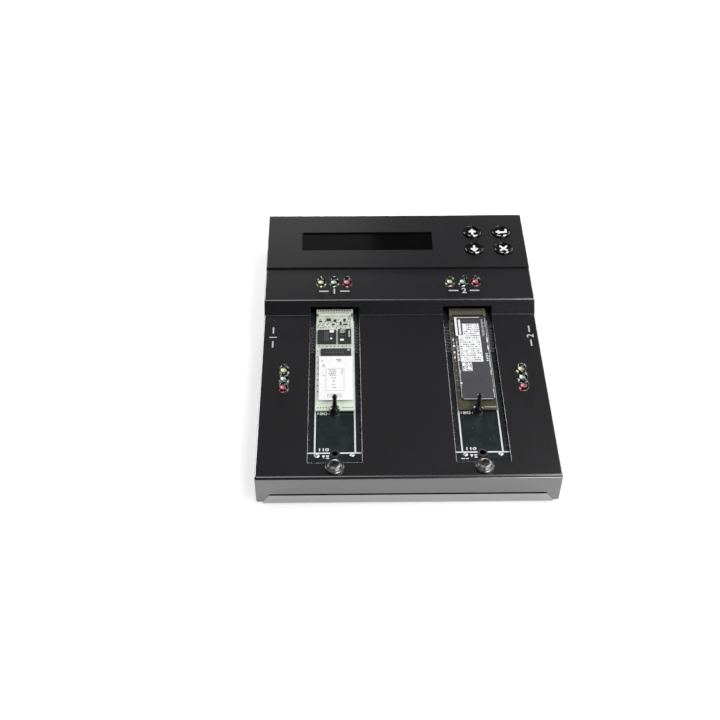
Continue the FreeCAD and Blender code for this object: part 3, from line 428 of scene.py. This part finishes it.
# ------------------------------------------------------------------------ floor
m, nt, b = new_mat("floor_pale")
v = coords(nt)
b.inputs["Roughness"].default_value = 0.7
b.inputs["Emission Color"].default_value = (1.0, 1.0, 1.0, 1)
b.inputs["Emission Strength"].default_value = 0.47
nt.links.new(ramp(nt, noise(nt, v, 0.004, 2.0), [(0.3, (0.82, 0.82, 0.83)), (0.7, (0.85, 0.85, 0.86))]), b.inputs["Base Color"])
bpy.ops.mesh.primitive_plane_add(size=4.0, location=(0, 0, 0))
floor = bpy.context.active_object
floor.name = "floor"
floor.data.materials.append(m)

# ---------------------------------------------------------------- mesh helpers
class Piece:
    """Collects closed forms, in casing millimetres, into one mesh."""

    def __init__(self, *mats):
        self.bm = bmesh.new()
        self.mats = [MAT[k] for k in mats]

    def prism(self, pts, z0, z1, mat=0, fn=None):
        f = fn or pt
        area2 = sum(a[0] * b[1] - b[0] * a[1] for a, b in zip(pts, pts[1:] + pts[:1]))
        if area2 < 0:
            pts = pts[::-1]
        lo = [self.bm.verts.new(f(x, y, z0)) for x, y in pts]
        hi = [self.bm.verts.new(f(x, y, z1)) for x, y in pts]
        n = len(pts)
        fs = [self.bm.faces.new(lo[::-1]), self.bm.faces.new(hi)]
        for i in range(n):
            j = (i + 1) % n
            fs.append(self.bm.faces.new((lo[i], lo[j], hi[j], hi[i])))
        for q in fs:
            q.material_index = mat
        return fs

    def box(self, x0, x1, y0, y1, z0, z1, mat=0, rot=0.0, fn=None):
        cx, cy = (x0 + x1) / 2, (y0 + y1) / 2
        c, s = math.cos(rot), math.sin(rot)
        pts = []
        for dx, dy in ((x0 - cx, y0 - cy), (x1 - cx, y0 - cy), (x1 - cx, y1 - cy), (x0 - cx, y1 - cy)):
            pts.append((cx + dx * c - dy * s, cy + dx * s + dy * c))
        return self.prism(pts, z0, z1, mat, fn)

    def pill(self, x0, x1, y0, y1, z0, z1, edge, mat=0):
        """Box whose top edges are rounded off by a small step."""
        steps = [(0, z0), (0, z1 - edge), (edge * 0.3, z1 - edge * 0.3), (edge, z1)]
        rings = []
        for d, z in steps:
            rings.append([self.bm.verts.new(pt(x, y, z)) for x, y in ((x0 + d, y0 + d), (x1 - d, y0 + d), (x1 - d, y1 - d), (x0 + d, y1 - d))])
        fs = [self.bm.faces.new(rings[0][::-1]), self.bm.faces.new(rings[-1])]
        for a, b in zip(rings, rings[1:]):
            for i in range(4):
                j = (i + 1) % 4
                fs.append(self.bm.faces.new((a[i], a[j], b[j], b[i])))
        for q in fs:
            q.material_index = mat

    def ring(self, cx, cy, r0, r1, z0, z1, mat=0, n=40, a0=0.0, a1=2 * math.pi):
        """Flat annulus, whole or part of the way round."""
        whole = abs(a1 - a0 - 2 * math.pi) < 1e-6
        k = n if whole else n + 1
        vs = []
        for i in range(k):
            a = a0 + (a1 - a0) * i / n
            c, s = math.cos(a), math.sin(a)
            vs.append([self.bm.verts.new(pt(cx + r * c, cy + r * s, z)) for r, z in ((r0, z0), (r1, z0), (r1, z1), (r0, z1))])
        fs = []
        for i in range(n):
            a, b = vs[i], vs[(i + 1) % k]
            for j in range(4):
                l = (j + 1) % 4
                fs.append(self.bm.faces.new((a[j], b[j], b[l], a[l])))
        if not whole:
            fs.append(self.bm.faces.new(vs[0][::-1]))
            fs.append(self.bm.faces.new(vs[-1]))
        for q in fs:
            q.material_index = mat

    def lathe(self, prof, cx, cy, mat=0, n=40, smooth=True):
        """Closed turned form: the profile starts and ends on the axis."""
        rings = []
        for r, z in prof:
            if r <= 1e-6:
                rings.append([self.bm.verts.new(pt(cx, cy, z))])
            else:
                rings.append([self.bm.verts.new(pt(cx + r * math.cos(2 * math.pi * i / n), cy + r * math.sin(2 * math.pi * i / n), z)) for i in range(n)])
        for a, b in zip(rings, rings[1:]):
            for i in range(n):
                j = (i + 1) % n
                if len(a) == 1 and len(b) == 1:
                    continue
                if len(a) == 1:
                    q = self.bm.faces.new((a[0], b[j], b[i])) if False else self.bm.faces.new((a[0], b[i], b[j]))
                elif len(b) == 1:
                    q = self.bm.faces.new((a[i], b[0], a[j]))
                else:
                    q = self.bm.faces.new((a[i], b[i], b[j], a[j]))
                q.material_index = mat
                q.smooth = smooth

    def text(self, s, x, y, z, height, depth=0.04, rot=0.0, bold=0.0, mat=0, width=None):
        """Upright printed characters centred on x, y."""
        cu = bpy.data.curves.new("glyphs", "FONT")
        cu.body = s
        cu.size = 1.0
        cu.extrude = 0.05
        cu.offset = bold
        cu.resolution_u = 4
        ob = bpy.data.objects.new("glyphs", cu)
        scene.collection.objects.link(ob)
        bpy.context.view_layer.update()
        me = bpy.data.meshes.new_from_object(ob.evaluated_get(bpy.context.evaluated_depsgraph_get()))
        bpy.data.objects.remove(ob)
        bpy.data.curves.remove(cu)
        t = bmesh.new()
        t.from_mesh(me)
        bpy.data.meshes.remove(me)
        bmesh.ops.remove_doubles(t, verts=t.verts, dist=1e-5)
        xs = [v.co.x for v in t.verts]
        ys = [v.co.y for v in t.verts]
        mx, my = (min(xs) + max(xs)) / 2, (min(ys) + max(ys)) / 2
        ky = height / (max(ys) - min(ys))
        kx = width / (max(xs) - min(xs)) if width else ky
        c, sn = math.cos(rot), math.sin(rot)
        new = {}
        for v in t.verts:
            a, b = (v.co.x - mx) * kx, (v.co.y - my) * ky
            new[v] = self.bm.verts.new(pt(x + a * c - b * sn, y + a * sn + b * c, z + (depth if v.co.z > 0 else -0.02)))
        for f in t.faces:
            try:
                q = self.bm.faces.new([new[v] for v in f.verts])
                q.material_index = mat
            except ValueError:
                pass
        t.free()

    def smd(self, x, y, z, l, w, h, body=0, cap=1, turn=False):
        """Chip resistor or capacitor: a body between two tinned ends."""
        if turn:
            l, w = w, l
            e = w * 0.26
            yy = ((y - w / 2, y - w / 2 + e, cap, 0), (y - w / 2 + e, y + w / 2 - e, body, 1), (y + w / 2 - e, y + w / 2, cap, 0))
            for a, b, m_, i in yy:
                g = 0.03 if i else 0
                self.box(x - l / 2 + g, x + l / 2 - g, a, b, z, z + h - g, m_)
        else:
            e = l * 0.26
            xx = ((x - l / 2, x - l / 2 + e, cap, 0), (x - l / 2 + e, x + l / 2 - e, body, 1), (x + l / 2 - e, x + l / 2, cap, 0))
            for a, b, m_, i in xx:
                g = 0.03 if i else 0
                self.box(a, b, y - w / 2 + g, y + w / 2 - g, z, z + h - g, m_)

    def done(self, name, body="root", warp=None):
        bmesh.ops.recalc_face_normals(self.bm, faces=self.bm.faces)
        if warp:
            warp(self.bm)
        me = bpy.data.meshes.new(name)
        self.bm.to_mesh(me)
        self.bm.free()
        for m_ in self.mats:
            me.materials.append(m_)
        o = bpy.data.objects.new(name, me)
        scene.collection.objects.link(o)
        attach(o, body)
        return o


def circle(cx, cy, r, n=32):
    return [(cx + r * math.cos(2 * math.pi * i / n), cy + r * math.sin(2 * math.pi * i / n)) for i in range(n)]


def mid(name):
    lo_, hi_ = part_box(name)
    return (lo_ + hi_) / 2


BAY = {"left": -39.5, "right": 40.9}
AT = 19.7                                   # top of an adapter board
CT = 21.7                                   # top of a drive card

# ------------------------------------------------------------------ key symbols
KEY_EDGE, KEY_DISH = 5.05, 0.75


def dish_warp(cx, cy, top):
    def warp(bm):
        bmesh.ops.triangulate(bm, faces=bm.faces)
        for axis in (0, 1):
            for i in range(-9, 10):
                co = pt(cx, cy, 0)
                co[axis] += i * 0.45 * MM
                no = Vector((0, 0, 0))
                no[axis] = 1.0
                bmesh.ops.bisect_plane(bm, geom=bm.verts[:] + bm.edges[:] + bm.faces[:], plane_co=co, plane_no=no, dist=1e-7)
        for v in bm.verts:
            rx, ry = v.co.x / MM - cx, (v.co.y - Y0) / MM - cy
            r2 = (rx * rx + ry * ry) / KEY_EDGE ** 2
            v.co.z += (top - KEY_DISH * (1 - r2)) * MM
    return warp


def arrow(sign):
    """Bold arrow with a swept head, pointing back (+1) or forward (-1)."""
    p = [(0, 2.95), (2.55, 0.25), (1.55, -0.75), (0.72, 0.1), (0.72, -2.85), (-0.72, -2.85), (-0.72, 0.1), (-1.55, -0.75), (-2.55, 0.25)]
    return [(x, y * sign) for x, y in p]


def cross_pts():
    a, b = 0.78, 2.75
    p = [(0, a * 1.35), (b - a * 0.9, b + 0.1), (b, b - a * 1.2), (a * 1.35, 0), (b, -b + a * 1.2), (b - a * 0.9, -b - 0.1), (0, -a * 1.35),
         (-b + a * 0.9, -b - 0.1), (-b, -b + a * 1.2), (-a * 1.35, 0), (-b, b - a * 1.2), (-b + a * 0.9, b + 0.1)]
    return p


RETURN = [(-3.75, -0.35), (-1.15, 2.05), (-1.15, 0.55), (2.35, 0.55), (2.35, 2.35), (3.7, 2.35), (3.7, -1.25), (-1.15, -1.25), (-1.15, -2.45)]
for name, pts in (("button_up", arrow(1)), ("button_down", arrow(-1)), ("button_enter", RETURN), ("button_cancel", cross_pts())):
    c = mid(name)
    kx, ky, ktop = c.x / MM, (c.y - Y0) / MM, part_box(name)[1].z / MM
    p = Piece("ink_key")
    p.prism([(kx + x, ky + y) for x, y in pts], -0.03, 0.035)
    p.done("symbol_" + name[7:], name, warp=dish_warp(kx, ky, ktop))

# --------------------------------------------------------- lamp number labels
LZ = LEDGE / MM
DZ = DECK / MM
p = Piece("ink")
for x, s in ((-39.7, "1"), (39.7, "2")):
    p.text(s, x, 140.2, LZ, 4.6, 0.04, 0.0, 0.012)
    for k in (-1, 1):
        p.box(x + k * 6.4 - 2.9, x + k * 6.4 + 2.9, 139.75, 140.65, LZ - 0.02, LZ + 0.04)
for x, s, r in ((-76.2, "1", -math.pi / 2), (77.0, "2", math.pi / 2)):
    p.text(s, x, 107.0, DZ, 4.2, 0.04, r, 0.012)
    for k in (-1, 1):
        p.box(x - 0.4, x + 0.4, 107.0 + k * 5.9 - 2.6, 107.0 + k * 5.9 + 2.6, DZ - 0.02, DZ + 0.04)
p.done("lamp_numbers")

# ---------------------------------------------------------- lamp lead frames
LED_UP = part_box("leds_yellow")[1].z / MM - LZ      # how far a dome stands proud
p = Piece("zinc", "alu")
for k in (-1, 1):
    for i in (-1, 0, 1):
        spots = [(k * 39.7 + i * 8.0, 148.4, LZ + LED_UP)]
        spots.append((k * 68.7, (66.4, 73.1, 79.8)[i + 1], DZ + LED_UP))
        for x, y, tip in spots:
            p.box(x - 1.15, x - 0.75, y - 0.22, y + 0.22, tip - 8.4, tip - 4.3)
            p.box(x + 0.55, x + 0.95, y - 0.22, y + 0.22, tip - 8.4, tip - 4.0)
            # reflector cup on the wider post
            p.lathe([(0, tip - 4.35), (0.55, tip - 4.35), (0.98, tip - 3.5), (0.82, tip - 3.5), (0.45, tip - 4.0), (0, tip - 4.0)], x - 0.25, y, 1, 20)
p.done("lamp_lead_frames")

# ------------------------------------------------- lamps with a ground dome
def lamp_set(node_name, mat, spots):
    lo_, hi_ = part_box(node_name)
    p = Piece(mat)
    for x, y, surface in spots:
        tip = surface + LED_UP
        r, z0 = 2.8, tip - 8.6
        prof = [(0, z0), (r + 0.35, z0), (r + 0.35, z0 + 1.0), (r, z0 + 1.0), (r, tip - r)]
        for k in range(1, 18):
            a = math.pi / 2 * k / 18
            prof.append((r * math.cos(a), tip - r + r * math.sin(a)))
        prof.append((0, tip))
        first = len(p.bm.faces)
        p.lathe(prof, x, y, 0, 48)
        p.bm.faces.ensure_lookup_table()
        for q in p.bm.faces[first:first + 48 * 3]:
            q.smooth = False
        # flat on the flange that marks the short lead
        for q in p.bm.faces[first:first + 48 * 3]:
            for v in q.verts:
                if v.co.x > (x + r + 0.12) * MM:
                    v.co.x = (x + r + 0.12) * MM
    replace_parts(p.done(node_name.replace("leds", "lamps")), node_name)


lamp_set("leds_yellow", "led_yellow", [(k * 39.7 - 8.0, 148.4, LZ) for k in (-1, 1)] + [(k * 68.7, 79.8, DZ) for k in (-1, 1)])
lamp_set("leds_green", "led_green", [(k * 39.7, 148.4, LZ) for k in (-1, 1)] + [(k * 68.7, 73.1, DZ) for k in (-1, 1)])
lamp_set("leds_red", "led_red", [(k * 39.7 + 8.0, 148.4, LZ) for k in (-1, 1)] + [(k * 68.7, 66.4, DZ) for k in (-1, 1)])

# ---------------------------------------------------- adapter board printing
for side, cx in BAY.items():
    R_ = side == "right"
    p = Piece("ink_board", "solder", "tin_dark", "chip", "card_olive", "ink_grey", "ink_dark")
    zt = AT - 0.01
    zi = AT + 0.035
    for x in (-10.95, 11.15):
        p.box(cx + x - 0.42, cx + x + 0.42, 19.7, 122.6, zt, zi)
    # full-width line broken by the long-card hole
    p.box(cx - 16.6, cx - 2.6, 18.75, 19.6, zt, zi)
    p.box(cx + 2.6, cx + 16.6, 18.75, 19.6, zt, zi)
    p.ring(cx, 18.7, 2.62, 2.80, zt, zi, 2, 40)
    p.ring(cx, 48.7, 2.75, 2.92, zt, zi, 2, 40)
    p.text("110", cx - 5.9, 21.6, AT, 2.1, 0.035, 0.0, 0.02, 0, 5.4)
    p.text("80", cx - 6.3, 48.0, AT, 2.3, 0.035, 0.0, 0.02, 0, 4.4)
    p.box(cx - 3.4, cx - 3.0, 47.0, 49.1, zt, zi)
    p.box(cx - 9.6, cx - 9.2, 47.0, 49.1, zt, zi)
    # reference marks below the line
    p.prism([(cx - 7.0, 17.6), (cx - 5.2, 17.6), (cx - 6.1, 15.4)], zt, zi)
    p.box(cx - 4.7, cx - 3.1, 16.7, 17.6, zt, zi)
    p.box(cx - 4.7, cx - 3.1, 15.2, 16.0, zt, zi)
    if R_:
        p.box(cx - 11.9, cx - 9.9, 14.3, 15.0, zt, zi)
        p.box(cx - 9.5, cx - 7.9, 14.3, 15.0, zt, zi)
    # soldered lands
    for x, y, r in ((-9.9, 17.3, 1.35), (9.5, 17.6, 1.3)):
        x += 0.4 if R_ else 0.0
        r += 0.25 if (not R_ and x < 0) else 0.0
        p.lathe([(0, zt), (r, zt), (r, AT + 0.10), (r * 0.85, AT + 0.30), (r * 0.5, AT + 0.46), (0, AT + 0.52)], cx + x, y, 1, 28)
    # small parts on the flanks, by the card's controller
    for fx in (-13.0, 12.9):
        for i in range(9):
            y = 97.0 + i * 2.55
            p.smd(cx + fx - 0.55, y, AT, 1.0, 0.5, 0.38, 3 if i % 3 else 4, 1, turn=bool(i % 2))
            if i % 3 != 1:
                p.smd(cx + fx + 0.75, y + 0.9, AT, 1.0, 0.5, 0.38, 4, 1, turn=not i % 2)
            p.box(cx + fx - 1.35, cx + fx + 1.35, y - 1.15, y - 0.35, zt, zi, 6)
    # plated vias along the ground strips
    for i in range(22):
        y = 24.0 + i * 4.6
        for fx in (-14.1, 14.1):
            if 95 < y < 121:
                continue
            p.ring(cx + fx, y, 0.18, 0.36, zt, AT + 0.02, 2, 10)
    # plain fiducials
    for x, y in ((-13.6, 22.6), (13.2, 44.0), (-4.0, 36.0), (5.0, 28.5)):
        p.prism(circle(cx + x, y, 0.32, 12), zt, AT + 0.02, 2)
    p.done("adapter_print_" + side)

# ------------------------------------------------------------- card connectors
for side, cx in BAY.items():
    top = AT + 3.3
    p = Piece("solder", "conn", "gold")
    for i in range(-17, 18):
        x = cx + i * 0.5
        p.box(x - 0.11, x + 0.11, 126.0, 127.2, top - 0.01, top + 0.03, 0)
        p.box(x - 0.13, x + 0.13, 129.8, 130.7, AT + 0.02, AT + 0.5, 0)
    for i in range(-10, 11):
        x = cx + i * 0.98
        p.box(x - 0.27, x + 0.27, 127.8, 129.6, top - 0.01, top + 0.03, 1)
    for x in (-10.3, 10.3):
        p.box(cx + x - 0.6, cx + x + 0.6, 123.0, 126.0, top - 0.01, top + 0.12, 0)
    p.done("connector_contacts_" + side)

# --------------------------------------------------------- left drive card
cx = BAY["left"]
p = Piece("chip", "solder", "card_olive", "ink_board", "gold", "ink_dark")
for x, y, l, w, h in ((-3.7, 121.6, 2.7, 1.6, 0.8), (0.2, 120.7, 1.6, 1.5, 0.7), (5.9, 121.4, 1.6, 1.3, 0.8), (3.6, 118.4, 1.1, 2.3, 0.8),
                      (6.4, 117.6, 2.6, 0.8, 0.6), (-0.9, 117.7, 1.7, 1.0, 0.5), (-8.6, 120.4, 2.0, 0.9, 0.5)):
    p.pill(cx + x - l / 2, cx + x + l / 2, y - w / 2, y + w / 2, CT, CT + h, 0.12, 0)
    for k in (-1, 1):
        p.box(cx + x + k * l * 0.25 - 0.18, cx + x + k * l * 0.25 + 0.18, y - w / 2 - 0.28, y + w / 2 + 0.28, CT, CT + 0.14, 1)
taken = [(-3.7, 121.6), (0.2, 120.7), (5.9, 121.4), (3.6, 118.4), (6.4, 117.6), (-0.9, 117.7), (-8.6, 120.4)]
tries = 0
while len(taken) < 40 and tries < 900:
    tries += 1
    x, y = rnd.uniform(-10.0, 10.0), rnd.uniform(114.2, 122.2)
    if any(abs(x - a) < (2.2 if i < 7 else 1.25) and abs(y - b_) < 1.25 for i, (a, b_) in enumerate(taken)):
        continue
    taken.append((x, y))
    p.smd(cx + x, y, CT, 1.0, 0.5, 0.4, 2 if rnd.random() < 0.75 else 0, 1, turn=rnd.random() < 0.5)
for i in range(9):
    p.smd(cx - 9.3 + i * 2.3, 99.0, CT, 1.0, 0.5, 0.4, 2 if i % 3 else 0, 1, turn=bool(i % 2))
for i in range(8):
    p.smd(cx - 9.9, 95.2 - i * 4.6, CT, 1.0, 0.5, 0.4, 2, 1, turn=True)
# test lands and print by the free end
for i in range(7):
    x = cx - 9.4 + i * 1.55
    if abs(x - cx) < 3.6:
        continue
    p.prism(circle(x, 50.6, 0.42, 14), CT - 0.01, CT + 0.02, 4)
for i in range(5):
    p.prism(circle(cx + 4.6 + i * 1.3, 50.6, 0.42, 14), CT - 0.01, CT + 0.02, 4)
p.box(cx - 10.2, cx - 4.0, 52.4, 52.65, CT - 0.01, CT + 0.02, 3)
p.box(cx + 4.2, cx + 10.2, 52.4, 52.65, CT - 0.01, CT + 0.02, 3)
for a0 in (0.0,):
    p.ring(cx, 48.7, 1.78, 2.9, CT - 0.01, CT + 0.02, 4, 30, 0.02, math.pi - 0.02)
p.done("card_parts_left")

p = Piece("ink_grey", "ink_board", "ink_dark", "sleeve")
z1, z2 = CT + 1.0, CT + 0.9
p.box(cx - 3.1, cx - 0.5, 109.9, 112.0, z1 - 0.01, z1 + 0.03, 1)
p.box(cx - 2.7, cx - 1.6, 104.2, 105.5, z1 - 0.01, z1 + 0.03, 1)
p.box(cx - 2.8, cx - 1.5, 106.8, 107.8, z1 - 0.01, z1 + 0.03, 2)
for i in range(3):
    p.box(cx - 6.2 + i * 0.95, cx - 5.75 + i * 0.95, 103.2, 111.0, z1 - 0.01, z1 + 0.03, 2)
for i in range(4):
    p.box(cx + 3.1, cx + 6.6 - (i % 2) * 0.8, 112.3 - i * 0.85, 112.75 - i * 0.85, z2 - 0.01, z2 + 0.03, 0)
p.box(cx + 8.2, cx + 9.0, 106.2, 111.6, z2 - 0.01, z2 + 0.03, 0)
p.box(cx + 3.2, cx + 5.4, 103.0, 104.6, z2 - 0.01, z2 + 0.03, 1)
p.box(cx + 3.4, cx + 6.4, 107.2, 107.6, z2 - 0.01, z2 + 0.03, 2)
for i in range(6):
    p.box(cx - 5.2 + i * 1.9, cx - 4.0 + i * 1.9, 93.0, 93.5, z1 - 0.01, z1 + 0.03, 2)
    p.box(cx - 4.6 + i * 1.7, cx - 3.9 + i * 1.7, 94.4, 94.9, z1 - 0.01, z1 + 0.03, 2)
p.box(cx + 7.4, cx + 8.7, 94.6, 95.9, z1 - 0.01, z1 + 0.03, 0)
for x, y in ((-9.6, 111.6), (2.7, 102.0), (-7.3, 95.8)):
    p.prism(circle(cx + x, y, 0.3, 14), (z2 if x > 2 else z1) - 0.01, (z2 if x > 2 else z1) + 0.03, 2)
p.done("chip_marks_left")

# printed rules and marks on the white label
p = Piece("ink_label", "ink_dark")
zl = CT + 1.12
lx = cx
p.box(lx - 5.2, lx + 5.4, 79.7, 79.9, zl - 0.01, zl + 0.015, 0)
p.box(lx - 5.2, lx - 5.0, 62.6, 79.9, zl - 0.01, zl + 0.015, 0)
p.box(lx + 5.2, lx + 5.4, 62.6, 79.9, zl - 0.01, zl + 0.015, 0)
p.box(lx - 5.2, lx + 5.4, 62.6, 62.8, zl - 0.01, zl + 0.015, 0)
for y, a, b_ in ((78.8, -3.6, 0.8), (77.4, -3.2, 1.1), (76.0, -3.7, 0.4), (74.7, -3.0, 0.9), (72.6, -1.8, 0.6), (70.0, -1.2, 0.2), (67.3, -1.6, 0.5), (65.0, -1.3, 0.9)):
    x = a
    while x < b_:
        w = rnd.uniform(0.35, 0.9)
        p.box(lx + x, lx + min(b_, x + w), y - 0.48, y + 0.48, zl - 0.01, zl + 0.015, 0)
        x += w + 0.28
for y in (79.0, 77.9, 76.8, 75.7):
    p.box(lx + 3.6, lx + 4.7, y - 0.2, y + 0.2, zl - 0.01, zl + 0.015, 0)
for x, y, w in ((-7.4, 86.2, 1.3), (-6.4, 81.8, 1.6), (-6.4, 74.3, 1.2), (-6.6, 83.0, 0.9), (2.2, 87.2, 3.0), (2.6, 86.0, 2.2)):
    p.box(lx + x - w / 2, lx + x + w / 2, y - 0.45, y + 0.45, zl - 0.01, zl + 0.015, 0)
for i in range(14):
    p.box(lx - 4.2 + i * 0.62, lx - 4.2 + i * 0.62 + (0.15 if i % 3 else 0.3), 57.2, 60.6, zl - 0.01, zl + 0.015, 0)
p.done("label_print_left")

# --------------------------------------------------------- right drive card
cx = BAY["right"]
p = Piece("chip", "solder", "label_edge", "brown", "gold", "ink_board")
for i in range(16):
    y = 121.0 - i * 3.9
    if y < 57:
        break
    p.smd(cx - 9.9, y, CT, 1.0, 0.55, 0.45, 3 if 92 < y < 107 else (2 if i % 2 else 0), 1, turn=bool(i % 2))
for i in range(6):
    p.smd(cx - 9.2 + (i % 2) * 0.9, 105.0 - i * 1.9, CT, 1.1, 0.6, 0.5, 3, 1, turn=bool((i // 2) % 2))
for i, y in enumerate((103.6, 101.3, 98.4, 96.2, 93.1, 90.9, 88.8)):
    p.pill(cx - 10.6, cx - 9.7 + 0.25 * (i % 3), y - 0.75, y + 0.75, CT, CT + 0.55, 0.1, 1 if i % 2 else 5)
for i in range(7):
    x = cx - 9.6 + i * 1.5
    if abs(x - cx) < 3.5:
        continue
    p.prism(circle(x, 51.6, 0.4, 14), CT - 0.01, CT + 0.02, 4)
p.box(cx + 3.9, cx + 10.4, 50.2, 50.45, CT - 0.01, CT + 0.02, 5)
for i in range(4):
    p.prism(circle(cx + 4.8 + i * 1.6, 52.2, 0.42, 14), CT - 0.01, CT + 0.02, 4)
p.ring(cx, 48.7, 1.78, 2.9, CT - 0.01, CT + 0.02, 4, 30, 0.02, math.pi - 0.02)
p.done("card_parts_right")

p = Piece("ink_board", "ink_field", "label_dark", "ink_grey")
a, b_ = zl - 0.01, zl + 0.02
p.box(cx - 8.35, cx - 7.0, 106.4, 121.9, a, b_, 0)
p.box(cx - 8.35, cx + 6.8, 121.9, 122.3, a, b_, 0)
p.box(cx - 6.2, cx - 4.95, 107.4, 120.2, a, b_, 0)
p.box(cx - 4.0, cx + 6.0, 106.9, 116.6, a, b_, 1)
p.box(cx - 6.9, cx + 6.15, 84.7, 106.9, a, b_, 1)
p.box(cx - 6.4, cx - 0.7, 77.3, 84.1, a, b_, 1)
zt2 = b_ + 0.012
# rows of illegible print: short dark bars on the pale field
for row in range(17):
    x = -6.3 if row > 5 else -3.4
    y = 115.4 - row * 1.82
    while x < 5.3:
        w = rnd.uniform(0.3, 1.15)
        if rnd.random() < 0.72:
            p.box(cx + x, cx + min(5.7, x + w), y - 0.42, y + (0.42 if rnd.random() < 0.6 else 0.0), b_ - 0.01, zt2, 2)
        x += w + rnd.uniform(0.25, 0.5)
for i in range(7):
    for j in range(8):
        if rnd.random() < 0.42:
            p.box(cx - 6.1 + i * 0.74, cx - 5.5 + i * 0.74, 77.6 + j * 0.78, 78.25 + j * 0.78, b_ - 0.01, zt2, 2)
# narrow column of marks down the right edge
for i in range(13):
    y = 119.9 - i * 1.15
    p.box(cx + 7.5, cx + 7.5 + rnd.uniform(0.8, 1.5), y - 0.3, y + 0.3, a, b_, 3)
for i in range(5):
    p.box(cx + 8.0, cx + 9.2, 90.9 - i * 1.4, 91.5 - i * 1.4, a, b_, 0)
for i in range(4):
    p.box(cx - 8.3, cx - 7.5, 96.2 - i * 3.1, 97.4 - i * 3.1, a, b_, 0)
# pale, broken streaks along the label's bottom and side edges
p.box(cx - 7.4, cx + 9.1, 55.25, 55.65, a, b_, 3)
y = 56.4
while y < 104.0:
    h = rnd.uniform(1.2, 4.5)
    w = rnd.choice((0.25, 0.5, 0.85, 1.1))
    p.box(cx - 8.58, cx - 8.58 + w, y, min(104.0, y + h), a, b_, rnd.choice((0, 3, 3)))
    y += h + rnd.uniform(0.05, 0.7)
y = 56.4
while y < 121.4:
    h = rnd.uniform(1.2, 4.5)
    w = rnd.choice((0.25, 0.45, 0.7))
    p.box(cx + 10.25 - w, cx + 10.25, y, min(121.4, y + h), a, b_, rnd.choice((0, 3, 3)))
    y += h + rnd.uniform(0.05, 0.9)
p.done("label_print_right")

# ------------------------------------------------------- thumb screw finish
for side, cx in BAY.items():
    name = "thumb_screw_" + side
    zb = DZ + 0.05
    p = Piece("nickel", "zinc")
    n = 64
    for i in range(n):
        a = 2 * math.pi * i / n
        x, y = cx + 4.98 * math.cos(a), 7.4 + 4.98 * math.sin(a)
        p.box(x - 0.12, x + 0.12, y - 0.10, y + 0.10, zb + 0.12, zb + 1.10, 0, rot=a)
    for r in (4.45, 3.98):
        p.ring(cx, 7.4, r - 0.09, r + 0.09, zb + 1.55, zb + 1.78 if r < 4.2 else zb + 1.70, 0, 64)
    p.done("knurl_" + side, name)

# --------------------------------------------------------- rear rocker marks
def rocker_fn(side):
    """Maps (u across, v up, w out) on one half of the rocker's face."""
    ang = math.radians(-9.0)
    ca, sa = math.cos(ang), math.sin(ang)

    def f(u, v_, w):
        lx_ = side * 4.6 + u
        ly = 4.55 + abs(lx_) * 0.8 / 6.8 + w
        return pt(58.0 + lx_ * ca - ly * sa, 210.3 + lx_ * sa + ly * ca, 12.6 + v_)
    return f


p = Piece("ink_key")
p.prism([(-0.35, -2.2), (0.35, -2.2), (0.35, 2.2), (-0.35, 2.2)], -0.02, 0.04, 0, rocker_fn(-1))
f = rocker_fn(1)
vs = []
for i in range(36):
    a = 2 * math.pi * i / 36
    vs.append([p.bm.verts.new(f(r * math.cos(a), r * math.sin(a), w)) for r, w in ((1.45, -0.02), (2.1, -0.02), (2.1, 0.04), (1.45, 0.04))])
for i in range(36):
    a, b_ = vs[i], vs[(i + 1) % 36]
    for j in range(4):
        l = (j + 1) % 4
        p.bm.faces.new((a[j], b_[j], b_[l], a[l]))
p.done("rocker_marks", "power_rocker")

# ------------------------------------------------------ drive socket contacts
p = Piece("gold")
for s in (-1, 1):
    for y0, count in ((107.0 - 16.2, 15), (107.0 + 8.9, 7)):
        for i in range(count):
            y = y0 + i * 1.27
            x0, x1 = sorted((s * 76.4, s * 81.2))
            p.box(x0, x1, y - 0.34, y + 0.34, 4.18, 4.34)
p.done("socket_contacts")
